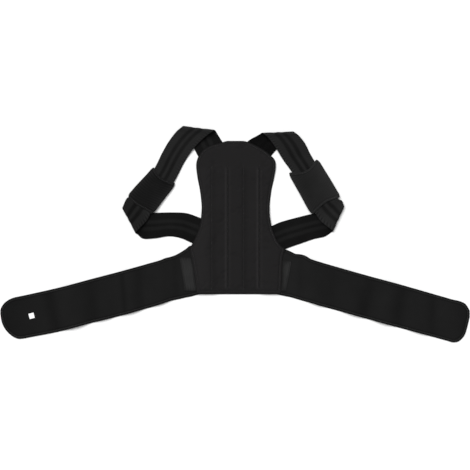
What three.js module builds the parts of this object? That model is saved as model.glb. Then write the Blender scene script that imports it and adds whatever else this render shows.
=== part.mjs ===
// Posture corrector lying flat with its inner side up: a padded back panel, two belt wings
// and two shoulder loops of ribbed webbing. Millimetres, +X to the right, +Y towards the
// top of the panel, +Z up, and the surface that it lies on is at z = 0.
import * as THREE from 'three';

const { smoothstep } = THREE.MathUtils;

// Driving sizes
const PANEL_HEIGHT = 307;
const PANEL_WIDTH = 159;
const PANEL_THICKNESS = 4.5;
const PANEL_MIDDLE = 1; // how far right of the middle the panel lies
const PANEL_FOOT = -119.5; // where the panel's bottom edge lies along Y
const RIM_THICKNESS = 2.4;
const RIM_ROLL = 4.5;
const CHANNEL_WIDTH = 32;
const CHANNEL_SPACING = 63;
const CHANNEL_RISE = 1.6;
const SEAM_WIDTH = 3;
const SEAM_DEPTH = 1;
const HEM_HEIGHT = 8.6;
const WING_LENGTH = 382;
const WING_HEIGHT = 86;
const WING_DROP = 97;
const WING_THICKNESS = 3;
const WING_WAVE = 6;
const STITCH_INSET = 5.5;
const STITCH_DEPTH = 0.5;
const STRAP_WIDTH = 50;
const STRAP_THICKNESS = 2;
const STRAP_GROOVE = 0.4;
const LOOP_REACH = 146;
const TOP_FOLD_HEIGHT = 12;
const CORNER_FOLD_HEIGHT = 8;
const SLEEVE_WIDTH = 64;
const SLEEVE_WALL = 1.5;
const SLEEVE_ROOM = 0.6;
const TAPE_WIDTH = 25;
const TAPE_THICKNESS = 0.8;
const TAPE_TOP_INSET = 21.5;
const TAPE_FOOT_INSET = 12;
const LABEL_WIDTH = 10.5;
const LABEL_HEIGHT = 11;
const LABEL_THICKNESS = 0.6;
const LAYER_GAP = 0.4;
const EDGE_GAP = 2;
const CARRIED_REACH = 26; // how far in from its edge the panel lies on straps and wings
const CARRIED_SLOPE = 22; // and over how far it comes down from there to the surface

// The panel's half widths on either side of its middle, as shares of PANEL_WIDTH,
// down its height from the top of the dome to the bottom edge
const PANEL_ROWS = [
  { down: 0.001, left: 0.101, right: 0.101 },
  { down: 0.005, left: 0.138, right: 0.138 },
  { down: 0.012, left: 0.18, right: 0.175 },
  { down: 0.029, left: 0.305, right: 0.25 },
  { down: 0.053, left: 0.395, right: 0.33 },
  { down: 0.074, left: 0.435, right: 0.385 },
  { down: 0.094, left: 0.457, right: 0.43 },
  { down: 0.123, left: 0.483, right: 0.485 },
  { down: 0.162, left: 0.495, right: 0.502 },
  { down: 0.24, left: 0.478, right: 0.484 },
  { down: 0.318, left: 0.45, right: 0.455 },
  { down: 0.396, left: 0.431, right: 0.435 },
  { down: 0.435, left: 0.426, right: 0.429 },
  { down: 0.474, left: 0.43, right: 0.43 },
  { down: 0.51, left: 0.436, right: 0.438 },
  { down: 0.569, left: 0.46, right: 0.46 },
  { down: 0.621, left: 0.499, right: 0.498 },
  { down: 0.653, left: 0.528, right: 0.528 },
  { down: 0.689, left: 0.563, right: 0.582 },
  { down: 0.704, left: 0.578, right: 0.625 },
  { down: 0.725, left: 0.572, right: 0.61 },
  { down: 0.757, left: 0.556, right: 0.592 },
  { down: 0.842, left: 0.523, right: 0.582 },
  { down: 0.907, left: 0.488, right: 0.576 },
  { down: 0.985, left: 0.459, right: 0.569 },
  { down: 0.996, left: 0.456, right: 0.567 },
  { down: 1, left: 0.453, right: 0.566 },
];
const PANEL_ROW_STEP = 0.055;
const CHANNEL_TOP = 0.16; // shares of the panel's height
const CHANNEL_FULL = 0.2;
const DOME_CARRIED = 0.165; // above here the panel lies on the strap ends
const DOME_DOWN = 0.3; // below here it lies on the surface
const SIDE_DOWN = 0.38; // above here its sides lie on the surface
const SIDE_CARRIED = 0.46; // below here they lie on straps and wings

// The wings from beneath the panel out to the round end: out as a share of WING_LENGTH from
// the foot of the panel's side, sink of the lower edge as a share of WING_DROP, and height
// as a share of WING_HEIGHT
const LEFT_WING_ROWS = [
  { out: -0.055, sink: -0.005, height: 1.02 },
  { out: -0.03, sink: 0.01, height: 1.08 },
  { out: 0.008, sink: 0.049, height: 1.185 },
  { out: 0.034, sink: 0.068, height: 1.126 },
  { out: 0.06, sink: 0.093, height: 1.08 },
  { out: 0.086, sink: 0.115, height: 1.043 },
  { out: 0.113, sink: 0.14, height: 1.028 },
  { out: 0.139, sink: 0.173, height: 1.038 },
  { out: 0.165, sink: 0.208, height: 1.03 },
  { out: 0.217, sink: 0.272, height: 1.035 },
  { out: 0.374, sink: 0.445, height: 1.035 },
  { out: 0.531, sink: 0.598, height: 1.025 },
  { out: 0.688, sink: 0.763, height: 1.025 },
  { out: 0.846, sink: 0.887, height: 1.005 },
  { out: 0.908, sink: 0.922, height: 0.986 },
  { out: 0.94, sink: 0.874, height: 0.898 },
  { out: 0.971, sink: 0.767, height: 0.707 },
  { out: 0.99, sink: 0.654, height: 0.5 },
  { out: 1, sink: 0.54, height: 0.3 },
  { out: 1.005, sink: 0.416, height: 0.1 },
];
const RIGHT_WING_ROWS = [
  { out: -0.047, sink: -0.005, height: 0.955 },
  { out: 0, sink: 0.035, height: 1.086 },
  { out: 0.034, sink: 0.062, height: 1.067 },
  { out: 0.06, sink: 0.091, height: 1.045 },
  { out: 0.086, sink: 0.122, height: 1.067 },
  { out: 0.113, sink: 0.151, height: 1.065 },
  { out: 0.139, sink: 0.179, height: 1.026 },
  { out: 0.191, sink: 0.241, height: 1.02 },
  { out: 0.296, sink: 0.355, height: 1.012 },
  { out: 0.448, sink: 0.524, height: 1.012 },
  { out: 0.605, sink: 0.693, height: 1.014 },
  { out: 0.762, sink: 0.86, height: 1.002 },
  { out: 0.856, sink: 0.963, height: 0.998 },
  { out: 0.887, sink: 0.995, height: 0.995 },
  { out: 0.919, sink: 0.965, height: 0.93 },
  { out: 0.95, sink: 0.823, height: 0.707 },
  { out: 0.965, sink: 0.62, height: 0.39 },
  { out: 0.974, sink: 0.468, height: 0.14 },
];
const WING_STEP = 0.042;

// Soft cross waves of each wing: their place and half length as shares of WING_LENGTH, their
// rise as a share of WING_WAVE, and how far the crest leans out from the lower to the upper edge
const LEFT_WAVES = [
  { out: 0.17, reach: 0.07, rise: 0.6, lean: 0.02 },
  { out: 0.33, reach: 0.08, rise: 0.8, lean: 0.03 },
  { out: 0.47, reach: 0.07, rise: 0.6, lean: 0.02 },
  { out: 0.63, reach: 0.09, rise: 1, lean: 0.05 },
];
const RIGHT_WAVES = [
  { out: 0.16, reach: 0.07, rise: 0.7, lean: -0.02 },
  { out: 0.34, reach: 0.09, rise: 0.9, lean: -0.05 },
  { out: 0.54, reach: 0.09, rise: 1, lean: 0.04 },
  { out: 0.72, reach: 0.08, rise: 0.7, lean: 0.02 },
];

// The webbing of each shoulder loop, from its end beneath the panel's dome over the top fold,
// through the sleeve and under the corner fold to its end beneath the panel's side. out is a
// share of LOOP_REACH from the panel's widest side, up a share of the height from the waist
// end to the top of the dome, turn the angle of the line across the webbing in degrees, wide
// that line's length as a share of STRAP_WIDTH, and lift a share of the nearest fold's height
const LEFT_STRAP_ROWS = [
  { part: 'top_end', out: -0.268, up: 0.82, turn: -32, wide: 1.13, lift: 0 },
  { part: 'top_end', out: -0.195, up: 0.913, turn: -32, wide: 1.13, lift: 0 },
  { part: 'top_end', out: -0.12, up: 1.026, turn: -11, wide: 1.14, lift: 0 },
  { part: 'top_fold', out: -0.048, up: 1.138, turn: 7.2, wide: 1.27, lift: 1 },
  { part: 'shoulder', out: 0.056, up: 1.076, turn: 8.8, wide: 1.2, lift: 0.75 },
  { part: 'shoulder', out: 0.184, up: 0.968, turn: 13.5, wide: 1.06, lift: 0.36 },
  { part: 'shoulder', out: 0.297, up: 0.833, turn: 20, wide: 0.98, lift: 0.06 },
  { part: 'sleeved', out: 0.443, up: 0.611, turn: 37.5, wide: 0.96, lift: 0 },
  { part: 'sleeved', out: 0.604, up: 0.445, turn: 38, wide: 0.95, lift: 0.1 },
  { part: 'sleeved', out: 0.745, up: 0.3, turn: 38, wide: 0.96, lift: 0.34 },
  { part: 'corner_fold', out: 0.914, up: 0.128, turn: 61.6, wide: 1.09, lift: 1 },
  { part: 'waist_end', out: 0.79, up: 0.077, turn: 72, wide: 1.12, lift: 0 },
  { part: 'waist_end', out: 0.565, up: 0.066, turn: 88, wide: 1.01, lift: 0 },
  { part: 'waist_end', out: 0.349, up: 0.081, turn: 94, wide: 0.91, lift: 0 },
  { part: 'waist_end', out: 0.164, up: 0.074, turn: 103, wide: 1, lift: 0 },
  { part: 'waist_end', out: -0.007, up: 0.025, turn: 108, wide: 1.05, lift: 0 },
  { part: 'waist_end', out: -0.12, up: -0.005, turn: 108, wide: 1.05, lift: 0 },
];
const RIGHT_STRAP_ROWS = [
  { part: 'top_end', out: -0.305, up: 0.822, turn: -36, wide: 1.09, lift: 0 },
  { part: 'top_end', out: -0.223, up: 0.912, turn: -36, wide: 1.09, lift: 0 },
  { part: 'top_end', out: -0.096, up: 1.002, turn: -18, wide: 1.07, lift: 0 },
  { part: 'top_fold', out: 0.031, up: 1.089, turn: 2.4, wide: 1.24, lift: 1 },
  { part: 'shoulder', out: 0.112, up: 1.04, turn: 3.3, wide: 1.24, lift: 0.8 },
  { part: 'shoulder', out: 0.208, up: 0.946, turn: 7, wide: 1.2, lift: 0.36 },
  { part: 'shoulder', out: 0.291, up: 0.836, turn: 15.5, wide: 1.1, lift: 0.06 },
  { part: 'sleeved', out: 0.387, up: 0.723, turn: 27, wide: 1, lift: 0 },
  { part: 'sleeved', out: 0.548, up: 0.518, turn: 31, wide: 1, lift: 0.1 },
  { part: 'sleeved', out: 0.705, up: 0.316, turn: 31, wide: 1, lift: 0.34 },
  { part: 'corner_fold', out: 0.866, up: 0.176, turn: 65.4, wide: 1.06, lift: 1 },
  { part: 'waist_end', out: 0.743, up: 0.136, turn: 72, wide: 1.12, lift: 0 },
  { part: 'waist_end', out: 0.529, up: 0.103, turn: 92, wide: 0.99, lift: 0 },
  { part: 'waist_end', out: 0.315, up: 0.066, turn: 102.5, wide: 1.01, lift: 0 },
  { part: 'waist_end', out: 0.13, up: 0.03, turn: 110, wide: 1.02, lift: 0 },
  { part: 'waist_end', out: 0.02, up: -0.002, turn: 113, wide: 1, lift: 0 },
  { part: 'waist_end', out: -0.099, up: -0.03, turn: 113, wide: 1, lift: 0 },
];
const STRAP_STEPS = { top_end: 1, top_fold: 1, shoulder: 2, sleeved: 2, corner_fold: 2, waist_end: 1 };
const FOLD_SEGMENTS = 6;

// The webbing's ribs across its width: raised bands with two grooves between them
const STRAP_RIBS = [
  { across: 0, groove: 1 },
  { across: 0.03, groove: 0 },
  { across: 0.31, groove: 0 },
  { across: 0.35, groove: 1 },
  { across: 0.43, groove: 1 },
  { across: 0.47, groove: 0 },
  { across: 0.53, groove: 0 },
  { across: 0.57, groove: 1 },
  { across: 0.65, groove: 1 },
  { across: 0.69, groove: 0 },
  { across: 0.97, groove: 0 },
  { across: 1, groove: 1 },
];

// What differs between the two sides. foot is where a wing starts, as a share of
// PANEL_WIDTH from the panel's middle
const LEFT = {
  name: 'left',
  sign: -1,
  foot: 0.547,
  wing: LEFT_WING_ROWS,
  waves: LEFT_WAVES,
  strap: LEFT_STRAP_ROWS,
  sleeveWide: 0.95,
  tapeTop: 1,
  tapeFoot: 0.97,
};
const RIGHT = {
  name: 'right',
  sign: 1,
  foot: 0.61,
  wing: RIGHT_WING_ROWS,
  waves: RIGHT_WAVES,
  strap: RIGHT_STRAP_ROWS,
  sleeveWide: 1.03,
  tapeTop: 0.7,
  tapeFoot: 0.4,
};

const panelTop = PANEL_FOOT + PANEL_HEIGHT;

// A smooth value of one column between the rows of a table that is in order along another
function readTable(table, along, column, at) {
  const found = table.findIndex((row) => row[along] >= at);
  const next = Math.max(found < 0 ? table.length - 1 : found, 1);
  const from = table[next - 1];
  const to = table[next];
  const before = table[Math.max(next - 2, 0)];
  const after = table[Math.min(next + 1, table.length - 1)];
  const span = to[along] - from[along];
  const share = THREE.MathUtils.clamp((at - from[along]) / span, 0, 1);
  const slopeFrom = ((to[column] - before[column]) / (to[along] - before[along])) * span;
  const slopeTo = ((after[column] - from[column]) / (after[along] - from[along])) * span;
  const square = share * share;
  const cube = square * share;
  return (
    (2 * cube - 3 * square + 1) * from[column] +
    (cube - 2 * square + share) * slopeFrom +
    (3 * square - 2 * cube) * to[column] +
    (cube - square) * slopeTo
  );
}

// The places of a table's rows, with more between them where they lie further apart than step
function placesAlong(table, along, step) {
  const places = [table[0][along]];
  for (let row = 1; row < table.length; row += 1) {
    const from = table[row - 1][along];
    const span = table[row][along] - from;
    const parts = Math.ceil(span / step);
    for (let part = 1; part <= parts; part += 1) {
      places.push(from + (span * part) / parts);
    }
  }
  return places;
}

function meshOf(name, positions, faces, material) {
  const geometry = new THREE.BufferGeometry();
  const flat = positions.flatMap((point) => [point.x, point.y, point.z]);
  geometry.setAttribute('position', new THREE.Float32BufferAttribute(flat, 3));
  geometry.setIndex(volumeOf(positions, faces) < 0 ? [...faces].reverse() : faces);
  geometry.computeVertexNormals();
  const mesh = new THREE.Mesh(geometry, material);
  mesh.name = name;
  return mesh;
}

function volumeOf(positions, faces) {
  let volume = 0;
  for (let corner = 0; corner < faces.length; corner += 3) {
    const [a, b, c] = faces.slice(corner, corner + 3).map((index) => positions[index]);
    volume += a.dot(new THREE.Vector3().crossVectors(b, c));
  }
  return volume;
}

// A closed wall of cloth from rows of cells, each with the point on its upper face and the
// one on its lower face
function clothMesh(name, rows, material) {
  const across = rows[0].length;
  const cells = rows.flat();
  const positions = [...cells.map((cell) => cell.upper), ...cells.map((cell) => cell.lower)];
  const faces = [];
  const quad = (a, b, c, d) => faces.push(a, b, c, a, c, d);
  for (let row = 0; row + 1 < rows.length; row += 1) {
    for (let column = 0; column + 1 < across; column += 1) {
      const here = row * across + column;
      const under = here + cells.length;
      quad(here, here + 1, here + across + 1, here + across);
      quad(under, under + across, under + across + 1, under + 1);
    }
  }
  const border = [];
  for (let column = 0; column < across; column += 1) border.push(column);
  for (let row = 1; row < rows.length; row += 1) border.push(row * across + across - 1);
  for (let column = across - 2; column >= 0; column -= 1) border.push(cells.length - across + column);
  for (let row = rows.length - 2; row > 0; row -= 1) border.push(row * across);
  border.forEach((here, place) => {
    const next = border[(place + 1) % border.length];
    quad(here, here + cells.length, next + cells.length, next);
  });
  return meshOf(name, positions, faces, material);
}

// A closed tube from rings that each have an outer and an inner loop of points
function tubeMesh(name, rings, material) {
  const around = rings[0].outer.length;
  const positions = rings.flatMap((ring) => [...ring.outer, ...ring.inner]);
  const faces = [];
  const quad = (a, b, c, d) => faces.push(a, b, c, a, c, d);
  const stride = 2 * around;
  const last = (rings.length - 1) * stride;
  for (let side = 0; side < around; side += 1) {
    const next = (side + 1) % around;
    for (let ring = 0; ring + 1 < rings.length; ring += 1) {
      const here = ring * stride;
      const there = here + stride;
      quad(here + side, here + next, there + next, there + side);
      quad(here + around + side, there + around + side, there + around + next, here + around + next);
    }
    quad(side, around + side, around + next, next);
    quad(last + side, last + next, last + around + next, last + around + side);
  }
  return meshOf(name, positions, faces, material);
}

// How far the panel reaches to one side of its middle, down its height
function panelReach(side, down) {
  return PANEL_WIDTH * readTable(PANEL_ROWS, 'down', side.name, down);
}

// The panel's clearance above the surface where it lies on the ends of straps and wings
function panelLift(down, inside) {
  const dome = 1 - smoothstep(down, DOME_CARRIED, DOME_DOWN);
  const along = smoothstep(down, SIDE_DOWN, SIDE_CARRIED);
  const beside = 1 - smoothstep(inside, CARRIED_REACH, CARRIED_REACH + CARRIED_SLOPE);
  return Math.max(
    dome * (STRAP_THICKNESS + LAYER_GAP),
    along * beside * (Math.max(WING_THICKNESS, STRAP_THICKNESS) + LAYER_GAP),
  );
}

// The panel's own thickness: thin at the rim, sunk at the seams and the hem, raised in the
// two stay channels
function panelThickness(down, beside, inside) {
  const toEnd = Math.min(down, 1 - down) * PANEL_HEIGHT;
  const toEdge = Math.min(inside, toEnd);
  const rim = Math.sqrt(THREE.MathUtils.clamp(toEdge / RIM_ROLL, 0, 1));
  let thickness = RIM_THICKNESS + (PANEL_THICKNESS - RIM_THICKNESS) * rim;
  const across = (Math.abs(beside) - CHANNEL_SPACING / 2) / (CHANNEL_WIDTH / 2);
  const along = smoothstep(down, CHANNEL_TOP, CHANNEL_FULL) * smoothstep(toEnd, HEM_HEIGHT, 2 * HEM_HEIGHT);
  thickness += CHANNEL_RISE * along * Math.sqrt(Math.max(0, 1 - across * across));
  const fromSeam = Math.abs(Math.abs(across) - 1) * (CHANNEL_WIDTH / 2);
  thickness -= SEAM_DEPTH * along * Math.max(0, 1 - fromSeam / (SEAM_WIDTH / 2));
  const fromHem = Math.abs((1 - down) * PANEL_HEIGHT - HEM_HEIGHT);
  thickness -= SEAM_DEPTH * rim * Math.max(0, 1 - fromHem / (SEAM_WIDTH / 2));
  return thickness;
}

const CHANNEL_SHARE = 0.97; // of a narrow row's width that the channels' columns may take

// Distances from the panel's middle to the columns of its mesh on one side
function panelColumns(reach) {
  const outer = (CHANNEL_SPACING + CHANNEL_WIDTH) / 2;
  const inner = (CHANNEL_SPACING - CHANNEL_WIDTH) / 2;
  const seam = SEAM_WIDTH / 2;
  const roomy = reach - RIM_ROLL;
  const squeeze = Math.min(1, (CHANNEL_SHARE * roomy) / (outer + seam));
  const fixed = [inner - seam, inner, inner + seam, CHANNEL_SPACING / 2, outer - seam, outer, outer + seam];
  const columns = fixed.map((column) => column * squeeze);
  return [...columns, (columns.at(-1) + roomy) / 2, roomy, reach - RIM_ROLL / 4, reach];
}

function backPanel(material) {
  const hem = 1 - HEM_HEIGHT / PANEL_HEIGHT;
  const seam = SEAM_WIDTH / 2 / PANEL_HEIGHT;
  const places = placesAlong(PANEL_ROWS, 'down', PANEL_ROW_STEP);
  const clear = places.filter((down) => Math.abs(down - hem) > 2 * seam);
  const downs = [...clear, hem - seam, hem, hem + seam].sort((a, b) => a - b);
  const rows = downs.map((down) => {
    const reaches = [LEFT, RIGHT].map((side) => panelReach(side, down));
    const lefts = panelColumns(reaches[0]).map((column) => -column).reverse();
    const columns = [...lefts, 0, ...panelColumns(reaches[1])];
    return columns.map((beside) => {
      const inside = beside < 0 ? reaches[0] + beside : reaches[1] - beside;
      const x = PANEL_MIDDLE + beside;
      const y = panelTop - PANEL_HEIGHT * down;
      const low = panelLift(down, inside);
      const high = low + panelThickness(down, beside, inside);
      return { upper: new THREE.Vector3(x, y, high), lower: new THREE.Vector3(x, y, low) };
    });
  });
  return clothMesh('back_panel', rows, material);
}

// A point of a wing's middle plane, from its lower edge at 0 to its upper edge at 1
function wingPoint(side, out, across) {
  const sink = WING_DROP * readTable(side.wing, 'out', 'sink', out);
  const height = WING_HEIGHT * readTable(side.wing, 'out', 'height', out);
  const x = PANEL_MIDDLE + side.sign * (PANEL_WIDTH * side.foot + WING_LENGTH * out);
  return new THREE.Vector3(x, PANEL_FOOT - sink + height * across, 0);
}

function wingWave(side, out, across) {
  const rises = side.waves.map((wave) => {
    const away = Math.abs(out - wave.out - wave.lean * (across - 0.5)) / wave.reach;
    return wave.rise * (1 - smoothstep(away, 0, 1));
  });
  return WING_WAVE * Math.max(...rises);
}

// A wing's edge on the way in from its rim to just past the line of stitches
const WING_EDGE = [
  { insets: 0, sunk: 1 },
  { insets: 0.25, sunk: 0 },
  { insets: 0.75, sunk: 0 },
  { insets: 1, sunk: 1 },
  { insets: 1.25, sunk: 0 },
];
const WIDEST_INSET = 0.38; // of the height, where the round end is too low for the full inset

function wingMesh(side, material) {
  const rows = placesAlong(side.wing, 'out', WING_STEP).map((out) => {
    const low = wingPoint(side, out, 0);
    const height = wingPoint(side, out, 1).y - low.y;
    const inset = Math.min(STITCH_INSET / height, WIDEST_INSET);
    const edge = WING_EDGE.map(({ insets, sunk }) => ({ across: inset * insets, sunk }));
    const far = edge.map(({ across, sunk }) => ({ across: 1 - across, sunk })).reverse();
    return [...edge, { across: 0.5, sunk: 0 }, ...far].map(({ across, sunk }) => {
      const point = wingPoint(side, out, across);
      const rise = wingWave(side, out, across);
      const upper = point.clone().setZ(rise + WING_THICKNESS - sunk * STITCH_DEPTH);
      const lower = point.clone().setZ(rise);
      return { upper, lower };
    });
  });
  return clothMesh(`${side.name}_wing`, rows, material);
}

const TAPE_ROWS = [0, 0.25, 0.5, 0.75, 1];
const TAPE_COLUMNS = [
  { across: 0, thick: 0.5 },
  { across: 0.1, thick: 1 },
  { across: 0.9, thick: 1 },
  { across: 1, thick: 0.5 },
];

// The joint tape lies on the wing, along the panel's edge
function tapeMesh(side, material) {
  const low = WING_THICKNESS + LAYER_GAP;
  const head = wingPoint(side, 0, 1).y - TAPE_TOP_INSET;
  const foot = PANEL_FOOT + TAPE_FOOT_INSET;
  const rows = TAPE_ROWS.map((share) => {
    const y = head + (foot - head) * share;
    const reach = panelReach(side, (panelTop - y) / PANEL_HEIGHT);
    const wide = TAPE_WIDTH * (side.tapeTop + (side.tapeFoot - side.tapeTop) * share);
    return TAPE_COLUMNS.map(({ across, thick }) => {
      const x = PANEL_MIDDLE + side.sign * (reach + LAYER_GAP + wide * across);
      const high = low + TAPE_THICKNESS * thick;
      return { upper: new THREE.Vector3(x, y, high), lower: new THREE.Vector3(x, y, low) };
    });
  });
  return clothMesh(`${side.name}_joint_tape`, rows, material);
}

// The line across the webbing at a row of its table, as its inner and outer ends
function strapLine(side, row, away, height) {
  const waist = wingPoint(side, 0, 1).y + EDGE_GAP + STRAP_WIDTH / 2;
  const x = PANEL_WIDTH / 2 + LOOP_REACH * row.out;
  const y = waist + (panelTop - waist) * row.up;
  const turn = THREE.MathUtils.degToRad(row.turn);
  const half = (STRAP_WIDTH / 2) * row.wide;
  const points = [-half, half].map((reach) => {
    const acrossX = x + reach * Math.cos(turn) + away * Math.sin(turn);
    const acrossY = y + reach * Math.sin(turn) - away * Math.cos(turn);
    return new THREE.Vector3(PANEL_MIDDLE + side.sign * acrossX, acrossY, height);
  });
  return { part: row.part, inner: points[0], outer: points[1] };
}

// A fold's half circle, up and over at the top or down and under at the corner
function foldLines(side, row) {
  const top = row.part === 'top_fold';
  const radius = (top ? TOP_FOLD_HEIGHT : CORNER_FOLD_HEIGHT) / 2;
  const lines = [];
  for (let segment = 0; segment <= FOLD_SEGMENTS; segment += 1) {
    const angle = Math.PI * (segment / FOLD_SEGMENTS - 0.5);
    const inwards = radius * (1 - Math.cos(angle)) + STRAP_THICKNESS / 2;
    const climb = radius * (top ? Math.sin(angle) : -Math.sin(angle));
    lines.push(strapLine(side, row, top ? inwards : -inwards, STRAP_THICKNESS / 2 + radius + climb));
  }
  return lines;
}

function strapLines(side) {
  return side.strap.flatMap((row) => {
    if (row.part.endsWith('fold')) return foldLines(side, row);
    const fold = row.part === 'shoulder' ? TOP_FOLD_HEIGHT : CORNER_FOLD_HEIGHT;
    const bed = row.part === 'sleeved' ? SLEEVE_WALL + SLEEVE_ROOM : 0;
    return [strapLine(side, row, 0, STRAP_THICKNESS / 2 + bed + fold * row.lift)];
  });
}

// More lines between those of the table, on smooth curves through their ends
function smoothLines(side) {
  const lines = strapLines(side);
  const curves = ['inner', 'outer'].map(
    (edge) => new THREE.CatmullRomCurve3(lines.map((line) => line[edge]), false, 'centripetal'),
  );
  const finer = [];
  lines.forEach((line, place) => {
    const steps = place + 1 < lines.length ? STRAP_STEPS[line.part] : 1;
    for (let step = 0; step < steps; step += 1) {
      const along = (place + step / steps) / (lines.length - 1);
      const [inner, outer] = curves.map((curve) => curve.getPoint(along));
      inner.z = Math.max(inner.z, STRAP_THICKNESS / 2);
      outer.z = Math.max(outer.z, STRAP_THICKNESS / 2);
      const sleeved = line.part === 'sleeved' && (step === 0 || lines[place + 1].part === 'sleeved');
      finer.push({ inner, outer, sleeved });
    }
  });
  return finer;
}

// The way the webbing runs and the way it faces at one line, at a share of its width
function facing(lines, place, across) {
  const from = lines[Math.max(place - 1, 0)];
  const to = lines[Math.min(place + 1, lines.length - 1)];
  const start = from.inner.clone().lerp(from.outer, across);
  const end = to.inner.clone().lerp(to.outer, across);
  const sideways = lines[place].outer.clone().sub(lines[place].inner);
  return new THREE.Vector3().crossVectors(end.sub(start), sideways).normalize();
}

function strapMesh(side, material) {
  const lines = smoothLines(side);
  const rows = lines.map((line, place) =>
    STRAP_RIBS.map(({ across, groove }) => {
      const middle = line.inner.clone().lerp(line.outer, across);
      const normal = facing(lines, place, across);
      const half = STRAP_THICKNESS / 2 - STRAP_GROOVE * groove;
      return {
        upper: middle.clone().addScaledVector(normal, half),
        lower: middle.clone().addScaledVector(normal, -half),
      };
    }),
  );
  return clothMesh(`${side.name}_shoulder_strap`, rows, material);
}

const SLEEVE_SIDES = 16;
const SLEEVE_FLATNESS = 0.35;

// A flattened ring round the webbing, with walls that draw together at its two sides
function sleeveLoop(lines, place, halfWidth, halfHeight) {
  const line = lines[place];
  const middle = line.inner.clone().lerp(line.outer, 0.5);
  const sideways = line.outer.clone().sub(line.inner).normalize();
  const normal = facing(lines, place, 0.5);
  const points = [];
  for (let step = 0; step < SLEEVE_SIDES; step += 1) {
    const angle = (2 * Math.PI * (step + 0.5)) / SLEEVE_SIDES;
    const wide = Math.sign(Math.cos(angle)) * Math.abs(Math.cos(angle)) ** SLEEVE_FLATNESS;
    const high = Math.sign(Math.sin(angle)) * Math.abs(Math.sin(angle)) ** SLEEVE_FLATNESS;
    const point = middle.clone().addScaledVector(sideways, halfWidth * wide);
    points.push(point.addScaledVector(normal, halfHeight * high));
  }
  return points;
}

function sleeveMesh(side, material) {
  const lines = smoothLines(side);
  const halfWidth = (SLEEVE_WIDTH * side.sleeveWide) / 2;
  const roomHeight = STRAP_THICKNESS / 2 + SLEEVE_ROOM;
  const rings = [];
  lines.forEach((line, place) => {
    if (!line.sleeved) return;
    rings.push({
      outer: sleeveLoop(lines, place, halfWidth, roomHeight + SLEEVE_WALL),
      inner: sleeveLoop(lines, place, halfWidth - SLEEVE_WALL, roomHeight),
    });
  });
  return tubeMesh(`${side.name}_strap_sleeve`, rings, material);
}

// The bare label lies on the left wing, square to the wing's slope
const LABEL_OUT = 0.84;
const LABEL_ACROSS = 0.49;

function labelMesh(material) {
  const geometry = new THREE.BoxGeometry(LABEL_WIDTH, LABEL_HEIGHT, LABEL_THICKNESS);
  const mesh = new THREE.Mesh(geometry, material);
  mesh.name = 'size_label';
  mesh.position.copy(wingPoint(LEFT, LABEL_OUT, LABEL_ACROSS));
  mesh.position.z = WING_THICKNESS + LAYER_GAP + LABEL_THICKNESS / 2;
  mesh.rotation.z = Math.atan2(WING_DROP, WING_LENGTH);
  return mesh;
}

function clothMaterial(color, roughness) {
  return new THREE.MeshStandardMaterial({ color, roughness, metalness: 0 });
}

const group = new THREE.Group();
group.add(backPanel(clothMaterial(0x232323, 0.9)));
for (const side of [LEFT, RIGHT]) {
  group.add(wingMesh(side, clothMaterial(0x1d1d1e, 0.9)));
  group.add(tapeMesh(side, clothMaterial(0x323232, 0.6)));
  group.add(strapMesh(side, clothMaterial(0x1c1c1c, 0.85)));
  group.add(sleeveMesh(side, clothMaterial(0x242424, 0.95)));
}
group.add(labelMesh(clothMaterial(0xf2f2f2, 0.8)));

export default group;
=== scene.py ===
# %% [markdown]
# # A posture corrector, open on a table with its inner side up
#
# The real thing is soft all over: a padded back panel, two belt wings that close round the
# waist, and two shoulder loops of elastic webbing that run through wide sleeves. It was laid
# out flat and photographed from straight above.
#
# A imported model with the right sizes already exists. It could be shown with better colours,
# but its solids are plain. So each of them is replaced here by a finer cloth that keeps to
# the same sizes, and that also has its bound edges, its seams and its stitches.

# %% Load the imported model
import math

import bpy
import numpy as np
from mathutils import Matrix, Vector


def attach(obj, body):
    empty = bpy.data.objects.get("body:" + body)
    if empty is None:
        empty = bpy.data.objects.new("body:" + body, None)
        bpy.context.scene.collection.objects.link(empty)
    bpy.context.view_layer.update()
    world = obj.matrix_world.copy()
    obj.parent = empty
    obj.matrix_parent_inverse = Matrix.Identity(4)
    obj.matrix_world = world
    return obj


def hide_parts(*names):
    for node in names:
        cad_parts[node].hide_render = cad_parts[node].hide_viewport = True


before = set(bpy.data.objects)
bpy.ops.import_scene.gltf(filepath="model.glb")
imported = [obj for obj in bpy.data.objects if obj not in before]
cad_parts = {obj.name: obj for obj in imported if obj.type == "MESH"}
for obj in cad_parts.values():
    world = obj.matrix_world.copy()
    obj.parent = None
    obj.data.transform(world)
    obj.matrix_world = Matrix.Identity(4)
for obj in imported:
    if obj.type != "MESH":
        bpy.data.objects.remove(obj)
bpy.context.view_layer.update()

print("Nodes:", ", ".join(sorted(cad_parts)))

# %% [markdown]
# ## Camera, floor and light
#
# The photograph looks straight down, so the camera does too. A long lens far away keeps the
# wing ends from leaning outwards, as a short one close by would make them. Black cloth on
# white needs a broad, soft light: a sun lamp with a wide angle gives it evenly over the whole
# floor, where an area lamp would leave the corners darker, and a pale world fills the shadows.

# %% Point the camera straight down
FRAME_WIDTH = 0.940  # metres of the brace that the picture's width takes in
CLOTH_LEVEL = 0.004  # how high above the floor most of the cloth lies
PICTURE_MIDDLE = -0.001  # how far up from the origin the picture's middle lies
LENS = 85
SENSOR = 36


def add_object(name, data):
    thing = bpy.data.objects.new(name, data)
    bpy.context.collection.objects.link(thing)
    return thing


camera_data = bpy.data.cameras.new("camera")
camera_data.lens = LENS
camera_data.sensor_width = SENSOR
camera = add_object("camera", camera_data)
camera.location = (0, PICTURE_MIDDLE, CLOTH_LEVEL + FRAME_WIDTH * LENS / SENSOR)
bpy.context.scene.camera = camera
print("The camera hangs", round(camera.location.z, 3), "m above the floor")

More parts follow.
